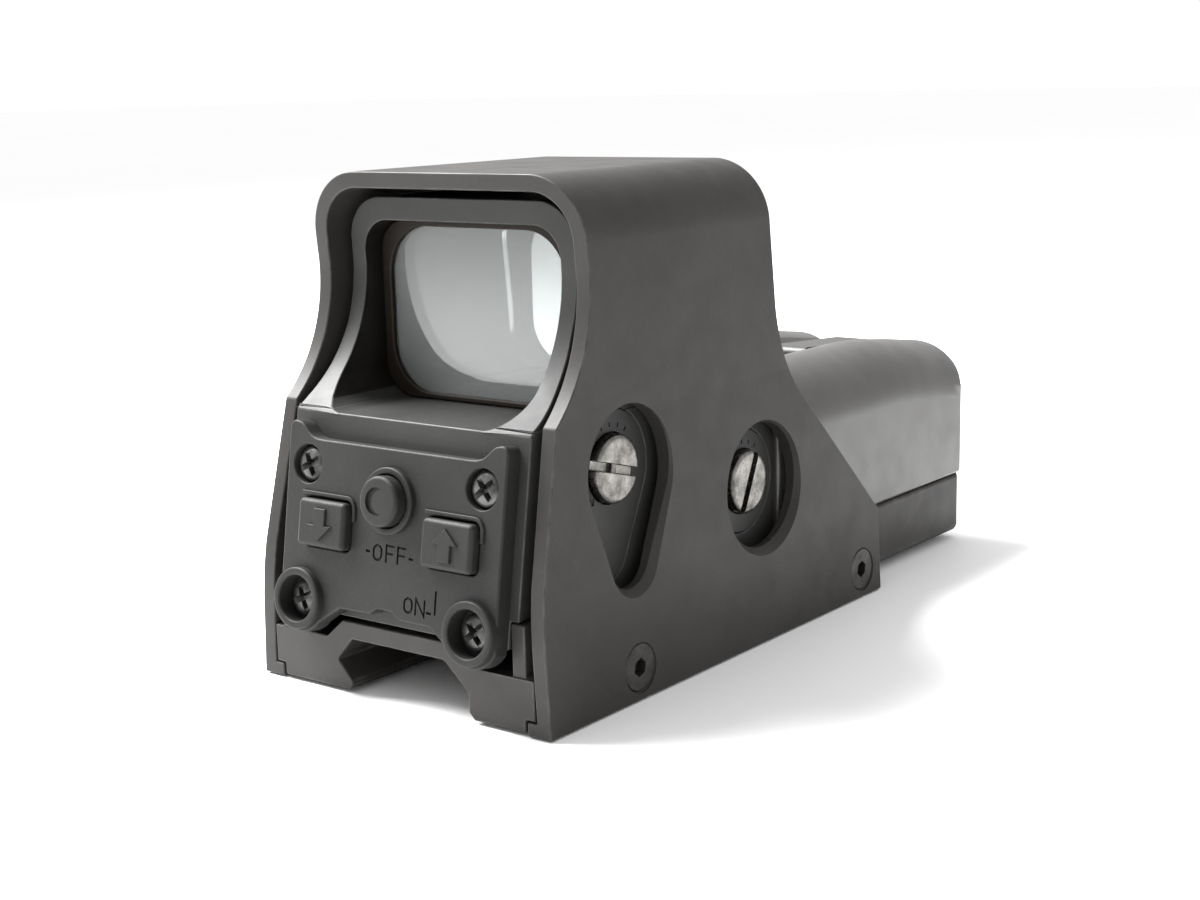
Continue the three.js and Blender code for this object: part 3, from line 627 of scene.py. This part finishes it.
def housing_lower():
    tilt = math.radians(KEYPAD_TILT)
    def face_y(z):
        return KEYPAD_Y + (PAD_THICKNESS + 0.1) / math.cos(tilt) + math.tan(tilt) * (z - KEYPAD_Z)
    side_view = [(face_y(10), 10), (HOUSING_FRONT, 10), (HOUSING_FRONT, HOUSING_TOP),
                 (face_y(HOUSING_TOP) + 0.3, HOUSING_TOP), (face_y(HOUSING_TOP - 0.4), HOUSING_TOP - 0.4)]
    return prism(side_view, "x", -HOUSING_HALF, HOUSING_HALF)


def window_block():
    side_view = [*arc(-5.8, 52.5, 20, -59.8, 0, 2.5), (13.8, 62), (47.5, 62), (47.5, 34.2), (4.6, 34.2)]
    section = mirrored([(19.2, 33.2), (19.2, 36.2), (18.75, 40), (18.4, 45), *arc(12.9, 55.5, 5.5, 0, 90)])
    return common(prism(side_view, "x", -25, 25), prism(section, "y", -5, 60))


def mark_tunnel_shade(piece):
    """Marks the tunnel's sides and roof for painted shade, which the shell material colours near black."""
    mesh = piece.data
    marks = []
    for face in mesh.polygons:
        at = face.center
        marks.append(float(abs(at.x) < 16.05 and 36.2 < at.z < 58.05 and face.normal.y > -0.35))
    mesh.attributes.new("inside", "FLOAT", "FACE").data.foreach_set("value", marks)


def build_housing():
    body = join(housing_lower(), window_block())
    tools = [
        prism(window_outline(16, 34.8, 58, 4.5, 4), "y", -10, 60),
        block(-16.5, 16.5, 9.5, 50, 5, 31.5),
        block(-6, 6, 24, 40, 30, 36),
        block(18, 25, -5, 6.4, 5, 13.4),
        block(-25, -18, -5, 6.4, 5, 13.4),
    ]
    for node in ("elevation_screw", "windage_screw"):
        at = centre_of(node)
        tools.append(rod(2.1, 10, 25, "x", (0, at.y, at.z), 48))
    at = centre_of("windage_screw")
    tools += [
        prism(teardrop(-0.75), "x", DIAL_SEAT, 25),
        rod(7.15, DIAL_SEAT, 25, "x", (0, at.y, at.z)),
    ]
    cut(body, *tools)
    round_edges(body, 0.2)
    mark_tunnel_shade(body)
    place(body, "optical_housing")


def build_bezels():
    clear = 0.12
    for node in ("rear_window_seal", "front_lens_seal"):
        low, high = box_of(node)
        outer = window_outline(16 - clear, 34.8 + clear, 58 - clear, 4.5, 4)
        ring = cut(prism(outer, "y", low.y, high.y),
                   prism(window_outline(14.4, 35.7, 57.1, 6.2, 6.2), "y", low.y - 1, high.y + 1))
        place(round_edges(ring, 0.25), node)


# Keypad, drawn in the frame of the tilted rear face: X across, Y into the object, Z up the face.

KEY_X, KEY_UP, KEY_WIDTH, KEY_HEIGHT, KEY_PROUD = 10.35, 9.82, 8.0, 5.9, 1.3
MOON_UP, MOON_R, MOON_PROUD, COLLAR_R = 13.87, 3.1, 2.3, 4.1
TOP_SCREW, LOW_SCREW = (14.35, 16.9), (14.2, 0.0)


def pad_outline():
    return mirrored([
        (1.2, 0.5), (2.4, -0.3), (7.5, -0.4), (9.3, -1.6),
        *arc(LOW_SCREW[0], 0, 4.3, 218, 318),
        (17.9, -2.2),
        *arc(16.9, 21.2, 1, 0, 100, 12),
        (15.9, 22.0), (15.3, 21.55), (14.7, 20.95), (14.0, 20.45), (13.1, 20.2), (12.0, 20.15),
    ])


def key_outline(x, grow, corner=0.7):
    w, h = KEY_WIDTH / 2 + grow, KEY_HEIGHT / 2 + grow
    return rounded_rectangle(x - w, KEY_UP - h, x + w, KEY_UP + h, corner + grow)


LETTER_STROKES = [
    [(-3.5, 7.4), (-2.8, 7.4)],
    [(-0.1, 6.35), (-0.1, 8.45), (1.25, 8.45)],
    [(-0.1, 7.5), (1.05, 7.5)],
    [(1.8, 6.35), (1.8, 8.45), (3.15, 8.45)],
    [(1.8, 7.5), (2.95, 7.5)],
    [(3.6, 7.3), (4.3, 7.3)],
    [(5.2, 0.75), (5.2, 2.75), (6.6, 0.75), (6.6, 2.75)],
    [(6.95, 1.3), (7.75, 1.3)],
    [(8.3, 1.2), (8.3, 4.1)],
]
LETTER_RINGS = [(-2.35, -0.75, 6.35, 8.45), (3.2, 4.75, 0.75, 2.75)]
STROKE, ENGRAVED = 0.3, 0.3


def marking_tools():
    tools = [prism(ribbon(line, STROKE), "y", -1, ENGRAVED) for line in LETTER_STROKES]
    for x0, x1, z0, z1 in LETTER_RINGS:
        middle, r = (x0 + x1) / 2, (x1 - x0 - STROKE) / 2
        top, foot = z1 - STROKE / 2 - r, z0 + STROKE / 2 + r
        right = arc(middle, top, r, 100, 0, 15) + arc(middle, foot, r, 0, -100, 15)
        left = arc(middle, top, r, 80, 180, 15) + arc(middle, foot, r, 180, 280, 15)
        tools += [prism(ribbon(half, STROKE), "y", -1, ENGRAVED) for half in (right, left)]
    return tools


def key_rim(side):
    """The thin raised rim over the top and down the right side of a key's opening."""
    x = side * KEY_X
    w, h = KEY_WIDTH / 2 + 0.62, KEY_HEIGHT / 2 + 0.62
    corner = arc(x + w - 1.3, KEY_UP + h - 1.3, 1.3, 90, 0, 15)
    line = [(x - w + 0.2, KEY_UP + h), *corner, (x + w, KEY_UP + 0.8)]
    return rounded(ribbon(line, 0.5), "y", -0.34, 1.0, 0.15)


def key_well(side):
    """A tool that cuts a square key's opening with a rounded mouth."""
    x, clear = side * KEY_X, 0.18
    stations = [(deep, key_outline(x, clear + grow)) for grow, deep in fillet(0.2)]
    return loft([(-5, key_outline(x, clear + 0.2)), *stations, (5, key_outline(x, clear))], "y")


def build_pad():
    slab = rounded(pad_outline(), "y", 0, PAD_THICKNESS, 0.3)
    raised = [boss(COLLAR_R, -0.75, 1, 0.22, "y", (0, 0, MOON_UP)), key_rim(-1), key_rim(1)]
    wells = [well(MOON_R + 0.18, -0.75, 5, 0.2, "y", (0, 0, MOON_UP)), key_well(-1), key_well(1)]
    for side in (-1, 1):
        low, top = ((side * x, 0, up) for x, up in (LOW_SCREW, TOP_SCREW))
        raised.append(boss(3.9, -1.05, 1, 0.3, "y", low))
        wells += [well(2.9, -1.05, 1.5, 0.25, "y", low), well(2.45, 0, 1.5, 0.2, "y", top)]
        wells += [rod(1.3, 0, 5, "y", low, 24), rod(1.3, 0, 5, "y", top, 24)]
    cut(join(slab, *raised), *wells)
    cut(slab, *marking_tools())
    place(slab, "keypad_pad", transform=REAR_FACE)


ARROW = [(0, 2.05), (2.0, 0.15), (0.95, 0.15), (0.95, -1.95), (-0.95, -1.95), (-0.95, 0.15), (-2.0, 0.15)]


def build_square_key(side, node, flip):
    x = side * KEY_X
    stations = [(deep - KEY_PROUD, key_outline(x, -grow)) for grow, deep in fillet(0.6, 6)]
    cap = loft([*stations, (2.5, key_outline(x, 0))], "y")
    arrow = [(x + u, KEY_UP + flip * v) for u, v in ARROW]
    join(cap, rounded(arrow, "y", -KEY_PROUD - 0.3, 0, 0.15))
    place(cap, node, transform=REAR_FACE)


def crescent(r, bite, shift):
    """A crescent moon, open to the right."""
    x = (r * r - bite * bite + shift * shift) / (2 * shift)
    outer = math.degrees(math.acos(x / r))
    inner = math.degrees(math.acos((x - shift) / bite))
    return arc(0, 0, r, outer, 360 - outer, 6) + arc(shift, 0, bite, 360 - inner, inner, 6)[1:-1]


def build_moon_key():
    edge = [(MOON_R - side, deep - MOON_PROUD) for side, deep in fillet(0.5, 6)]
    profile = [(0, -MOON_PROUD), *edge, (MOON_R, 2.45), (MOON_R + 0.6, 2.45), (MOON_R + 0.6, 2.9), (0, 2.9)]
    cap = turned(profile, "y", (0, 0, MOON_UP), 96)
    moon = [(u - 0.25, MOON_UP + v) for u, v in crescent(1.7, 1.5, 0.85)]
    cut(cap, prism(moon, "y", -MOON_PROUD - 1, -MOON_PROUD + 0.35))
    place(cap, "moon_button", transform=REAR_FACE)


def cross_arm(turn):
    """A tool for one arm of a cross recess, narrower at its foot."""
    mouth, foot = ([(-w, -h), (w, -h), (w, h), (-w, h)] for w, h in ((1.7, 0.42), (0.8, 0.24)))
    arm = loft([(-0.5, mouth), (0.3, mouth), (1.3, foot)], "y")
    arm.data.transform(Matrix.Rotation(math.radians(turn), 4, "Y"))
    return arm


def build_cross_screw(node, x, up):
    profile = [(0, 0.3), (0.9, 0.33), (1.6, 0.42), (2.0, 0.58), (2.2, 0.8), (2.25, 0.95), (2.25, 1.4),
               (1.1, 1.4),
               (1.1, 8), (0, 8)]
    turn = 12 + 9 * x
    head = cut(turned(profile, "y"), cross_arm(turn), cross_arm(turn + 90))
    place(head, node, KEYPAD_SCREW, transform=REAR_FACE @ Matrix.Translation((x, 0, up)))


KEYPAD_SCREW = machined("worn_screw", (0.02, 0.02, 0.02), (0.11, 0.11, 0.105), 0.36, metallic=0.85)


def build_keypad():
    build_pad()
    build_square_key(-1, "down_button", -1)
    build_square_key(1, "up_button", 1)
    build_moon_key()
    spots = [(-TOP_SCREW[0], TOP_SCREW[1]), TOP_SCREW, (-LOW_SCREW[0], LOW_SCREW[1]), LOW_SCREW]
    for i, (x, up) in enumerate(spots):
        build_cross_screw("keypad_screw_%d" % (i + 1), x, up)


# Adjusters, their dials and the hood's screws. Slots and ticks are turned by these angles, in degrees.

ELEVATION_SLOT, WINDAGE_SLOT = -15, 65
TICK_ANGLES = (55, 72, 90, 108, 125)
DIAL_INSET, DIAL_R, MARK_WIDTH, HEX_R = 0.9, 7.0, 0.24, 1.22


def build_adjuster(node, slot_angle):
    low, high = box_of(node)
    at = centre_of(node)
    r, face, stem, neck = (high.z - low.z) / 2, high.x, low.x, DIAL_SEAT + 0.15
    profile = [(0, stem), (1.4, stem + 0.6), (1.9, stem + 1.2), (1.9, neck), (r, neck), (r, face - 0.45),
               (r - 0.12, face - 0.18), (r - 0.4, face - 0.04), (r - 0.7, face), (0, face)]
    head = turned(profile, "x", (0, 0, 0), 96)
    blade = prism([(-0.62, 1), (-0.55, -1.25), (0.55, -1.25), (0.62, 1)], "y", -r - 1, r + 1)
    bump = [(-0.9, -1.4), (0.9, -1.4), (0.9, -0.95), (0.5, -0.75), (-0.5, -0.75), (-0.9, -0.95)]
    ridge = prism(bump, "y", -0.5, 0.5)
    # The blade's drawing has the slot's width along X and its depth along Z, so both turn to face +X.
    turn = Matrix.Rotation(math.radians(slot_angle), 4, "X") @ Matrix.Translation((face, 0, 0)) @ Matrix(
        ((0, 0, 1, 0), (0, 1, 0, 0), (-1, 0, 0, 0), (0, 0, 0, 1)))
    for piece in (blade, ridge):
        piece.data.transform(turn)
    cut(head, blade)
    join(head, ridge)
    round_edges(head, 0.08, 35, 2)
    centre = ORIGIN + at * MM
    steel = machined(node + "_steel", (0.06, 0.057, 0.052), (0.26, 0.25, 0.235), 0.3, centre, (0, 1, 1))
    place(head, node, steel, transform=Matrix.Translation((0, at.y, at.z)))


def build_dial(node, outline, screw):
    low, high = box_of(node)
    at = centre_of(screw)
    r = (box_of(screw)[1].z - box_of(screw)[0].z) / 2
    plate = cut(prism(outline, "x", low.x, high.x), rod(r + 0.2, 15, 25, "x", (0, at.y, at.z), 96))
    round_edges(plate, 0.1, 35, 2)
    tools = []
    for angle in TICK_ANGLES:
        a = math.radians(angle)
        ends = [(at.y + k * math.cos(a), at.z + k * math.sin(a)) for k in (r + 0.75, r + 1.35)]
        tools.append(ribbon(ends, MARK_WIDTH))
    sweep = arc(at.y, at.z, r + 1.0, 185, 228, 6)
    tip = sweep[-1]
    arrow = [(tip[0] - 0.75, tip[1] + 0.1), tip, (tip[0] + 0.05, tip[1] + 0.75)]
    tools += [ribbon(sweep, MARK_WIDTH), ribbon(arrow, MARK_WIDTH)]
    cut(plate, *(prism(outline, "x", high.x - 0.2, high.x + 1) for outline in tools))
    place(plate, node)


def build_hood_screw(node):
    at = centre_of(node)
    side = math.copysign(1, at.x)
    face = FOOT_HALF - 0.3
    profile = [(0, face - 6), (1.45, face - 6), (1.45, face - 1.75), (3.0, face - 0.2), (2.95, face - 0.04),
               (2.8, face), (0, face)]
    head = turned([(r, side * x) for r, x in profile], "x", (0, 0, 0), 72)
    corners = [math.radians(60 * i + 20) for i in range(6)]
    hexagon = [(HEX_R * math.cos(a), HEX_R * math.sin(a)) for a in corners]
    ends = sorted((side * (face - 1.3), side * (face + 1)))
    cut(head, prism(hexagon, "x", *ends))
    round_edges(head, 0.07, 35, 2)
    place(head, node, transform=Matrix.Translation((0, at.y, at.z)))


def build_adjusters():
    build_adjuster("elevation_screw", ELEVATION_SLOT)
    build_adjuster("windage_screw", WINDAGE_SLOT)
    build_dial("elevation_dial", teardrop(-DIAL_INSET), "elevation_screw")
    windage = centre_of("windage_screw")
    build_dial("windage_dial", circle(windage.y, windage.z, DIAL_R), "windage_screw")
    for node in HOOD_SCREWS:
        build_hood_screw(node)


# Base, clamp and battery compartment.

CLAMP_HEAD, CLAMP_SHANK_R, KNURL_TEETH = 4.7, 1.5, 30


def build_clamp():
    low, high = box_of("clamp_screw")
    at = centre_of("clamp_screw")
    head_r, head = (high.z - low.z) / 2, CLAMP_HEAD
    knurl = []
    for i in range(KNURL_TEETH):
        for share, r in ((0.0, head_r), (0.22, head_r), (0.5, head_r - 0.32), (0.78, head_r)):
            a = 2 * math.pi * (i + share) / KNURL_TEETH
            knurl.append((r * math.cos(a), r * math.sin(a)))
    grip = prism(knurl, "x", low.x + 0.45, low.x + head - 0.35)
    inner, end = head_r - 0.35, low.x + head
    core = turned([
        (0, low.x), (head_r - 0.9, low.x), (inner, low.x + 0.5), (inner, end - 0.4), (head_r - 0.8, end),
        (CLAMP_SHANK_R, end), (CLAMP_SHANK_R, high.x - 0.5), (1.1, high.x), (0, high.x),
    ], "x")
    join(grip, core)
    cut(grip, block(low.x - 1, low.x + 1.4, -6, 6, -0.7, 0.7))
    round_edges(grip, 0.08, 35, 2)
    place(grip, "clamp_screw", transform=Matrix.Translation((0, at.y, at.z)))
    low, high = box_of("clamp_washer")
    r = (high.z - low.z) / 2
    ring = turned([(1.7, low.x), (r, low.x), (r, high.x), (1.7, high.x)], "x", (0, at.y, at.z), closed=True)
    place(round_edges(ring, 0.08, 35, 2), "clamp_washer")


CAP_HALF, CAP_BOTTOM, HUMP_X, HUMP_Z, HUMP_R, CAP_WALL = 20.0, 11.0, 11.0, 25.4, 9.0, 1.6
CAP_FALL = [(-25, 0), (-22, 0.06), (-19, 0.25), (-16, 0.52), (-13, 0.84), (-10, 1.2), (-7, 1.62), (-4, 2.06),
            (-1.5, 2.4), (0, 2.6)]


def cap_section(inward, drop):
    """The cap's cross-section, with its humps lowered by a drop."""
    valley = 30.4 - drop / 2 - inward
    edge = 2.9 - inward * 0.5
    return mirrored([
        (CAP_HALF - inward, CAP_BOTTOM + inward * 0.9),
        *arc(HUMP_X, HUMP_Z - drop, HUMP_R - inward, 0, 118, 3.0),
        (edge + 3.0, valley + 1.8 - drop / 2), (edge + 2.2, valley + 1.0 - drop / 4),
        (edge + 1.2, valley + 0.3), (edge, valley),
    ])


def cap_body(inward, rear, front):
    stations = [(front + y, cap_section(inward, drop)) for y, drop in CAP_FALL]
    return loft([(rear, cap_section(inward, 0)), *stations], "y")


def build_cap():
    low, high = box_of("battery_cap")
    plan = mirrored([(CAP_HALF, low.y), *arc(CAP_HALF - 2.2, high.y - 2.2, 2.2, 0, 90, 6)])
    shell = common(cap_body(0, low.y, high.y), prism(plan, "z", 0, 50))
    pin = centre_of("latch_pin")
    hollow = cap_body(CAP_WALL, low.y - 2, high.y - CAP_WALL)
    cut(shell, hollow, rod(0.83, -5.9, 5.9, "x", (0, pin.y, pin.z), 32))
    # The cap takes the lighter copy of the shell's finish, which paints in the extra light it catches.
    place(round_edges(shell, 0.45, 34, 4, 0.05), "battery_cap", MATERIALS["cap_metal"])


def build_cells():
    for i in (1, 2):
        low, high = box_of("battery_cell_%d" % i)
        at = (low + high) / 2
        r, length = (high.x - low.x) / 2, high.y - low.y
        nub = length - 1.2
        profile = [
            (0, 0.15), (r - 1.6, 0.15), (r - 1.4, 0), (r - 0.5, 0), (r - 0.1, 0.15), (r, 0.5), (r, nub - 0.5),
            (r - 0.1, nub - 0.15), (r - 0.5, nub), (r - 1.2, nub - 0.15), (2.8, nub - 0.1),
            (2.6, nub + 0.1), (2.5, length - 0.2), (2.2, length), (0, length),
        ]
        turn = Matrix.Rotation(math.pi, 4, "Z") if i == 2 else Matrix.Identity(4)
        start = low.y if i == 1 else high.y
        move = Matrix.Translation((at.x, start, at.z)) @ turn
        place(turned(profile, "y"), "battery_cell_%d" % i, transform=move)


def coil_spring(node, wire=0.28):
    """A conical contact spring of two and a half turns."""
    low, high = box_of(node)
    at = (low + high) / 2
    turns, steps, sides = 2.5, 90, 8
    points, faces = [], []
    for i in range(steps + 1):
        share = i / steps
        a = 2 * math.pi * turns * share
        r = (high.x - low.x) / 2 - wire - 2.0 * share
        y = low.y + wire + (high.y - low.y - 2 * wire) * share
        out = Vector((math.cos(a), 0, math.sin(a)))
        centre = Vector((at.x, y, at.z)) + out * r
        for k in range(sides):
            b = 2 * math.pi * k / sides
            points.append(centre + out * (wire * math.cos(b)) + Vector((0, wire * math.sin(b), 0)))
    for i in range(steps):
        for k in range(sides):
            m = (k + 1) % sides
            faces.append((i * sides + k, i * sides + m, (i + 1) * sides + m, (i + 1) * sides + k))
    faces.append(tuple(range(sides)))
    faces.append(tuple(range(steps * sides, (steps + 1) * sides)))
    place(solid(points, faces), node)


def build_base():
    for node, width in (("rail_base", 0.22), ("clamp_jaw", 0.2), ("front_tray", 0.3), ("battery_tube", 0.2),
                        ("latch_lever", 0.15), ("cap_contact", 0.05)):
        place(round_edges(copy_of(node), width), node)
    build_clamp()
    build_cap()
    build_cells()
    coil_spring("cell_spring_1")
    coil_spring("cell_spring_2")


def dress_kept_nodes():
    """Gives the CAD nodes that stay their slot's material and welds them; all but the window and lens panes
    get rounded edges.
    """
    for name, node in frame["nodes"].items():
        if node.hide_render:
            continue
        node.data.materials.clear()
        node.data.materials.append(MATERIALS[SLOT_OF[name]])
        weld = node.modifiers.new("weld", "WELD")
        weld.merge_threshold = 2e-6
        if "window" in name or "lens" in name:
            continue
        bevel = node.modifiers.new("round", "BEVEL")
        bevel.width = 0.00006
        bevel.segments = 2
        bevel.limit_method = "ANGLE"
        bevel.angle_limit = math.radians(40)


# Studio.

CAMERA_AT = Vector((0.152916, -0.195901, 0.068085))
AZIMUTH, ELEVATION, ROLL, LENS = 37.588, 11.366, -1.416, 55.58


def build_camera():
    a, e, roll = (math.radians(v) for v in (AZIMUTH, ELEVATION, ROLL))
    back = Vector((math.sin(a) * math.cos(e), -math.cos(a) * math.cos(e), math.sin(e)))
    level = Vector((math.cos(a), math.sin(a), 0))
    upright = back.cross(level)
    right = math.cos(roll) * level + math.sin(roll) * upright
    up = -math.sin(roll) * level + math.cos(roll) * upright
    data = bpy.data.cameras.new("camera")
    data.lens = LENS
    data.sensor_width = 36.0
    data.clip_start = 0.01
    camera = bpy.data.objects.new("camera", data)
    camera.matrix_world = Matrix((
        (right.x, up.x, back.x, CAMERA_AT.x),
        (right.y, up.y, back.y, CAMERA_AT.y),
        (right.z, up.z, back.z, CAMERA_AT.z),
        (0, 0, 0, 1),
    ))
    bpy.context.scene.collection.objects.link(camera)
    bpy.context.scene.camera = camera


def add_light(name, at, towards, width, height, watts, colour=(1, 1, 1)):
    data = bpy.data.lights.new(name, "AREA")
    data.shape = "RECTANGLE"
    data.size, data.size_y = width, height
    data.energy = watts
    data.color = colour
    light = bpy.data.objects.new(name, data)
    light.location = at
    light.rotation_mode = "QUATERNION"
    light.rotation_quaternion = (Vector(towards) - Vector(at)).to_track_quat("-Z", "Y")
    bpy.context.scene.collection.objects.link(light)


SKY_STRENGTH = 1.05
LAMP_TOWARDS, LAMP_DISTANCE = Vector((-0.598, -0.175, 0.755)), 0.5
LAMP_SIZE, LAMP_WATTS = 0.3, 14.0
FLOOR_HALF, FLOOR_GAP = 6.0, 0.0002


def build_studio():
    world = bpy.data.worlds.new("studio")
    bpy.context.scene.world = world
    world.use_nodes = True
    background = world.node_tree.nodes["Background"]
    background.inputs["Color"].default_value = (1.0, 1.0, 1.0, 1.0)
    background.inputs["Strength"].default_value = SKY_STRENGTH
    middle = (CAD_BOX[0] + CAD_BOX[1]) / 2
    lamp_at = middle + LAMP_DISTANCE * LAMP_TOWARDS
    add_light("top_box", lamp_at, middle, LAMP_SIZE, LAMP_SIZE, LAMP_WATTS)
    floor_z = CAD_BOX[0].z - FLOOR_GAP
    size = FLOOR_HALF
    mesh = bpy.data.meshes.new("floor")
    corners = [(-size, -size), (size, -size), (size, size), (-size, size)]
    mesh.from_pydata([(x, y, floor_z) for x, y in corners], [], [(0, 1, 2, 3)])
    floor = bpy.data.objects.new("floor", mesh)
    bpy.context.scene.collection.objects.link(floor)
    material, tree, shader, at = new_material("pale_floor")
    tone = mix_colours(tree, noise(tree, at, 3.0, 2.0), (0.91, 0.91, 0.91), (0.935, 0.935, 0.935))
    finish_surface(tree, shader, tone, spread(tree, noise(tree, at, 900.0), 0.3, 0.7, 0.6, 0.7),
                   noise(tree, at, 1200.0), 0.02, 0.0001)
    mesh.materials.append(material)
    view = bpy.context.scene.view_settings
    view.view_transform = "Standard"
    view.look = "None"


build_hood()
build_housing()
build_bezels()
build_keypad()
build_adjusters()
build_base()
dress_kept_nodes()
build_camera()
build_studio()

for leftover in ("flat", "edge"):
    bpy.data.materials.remove(bpy.data.materials[leftover])
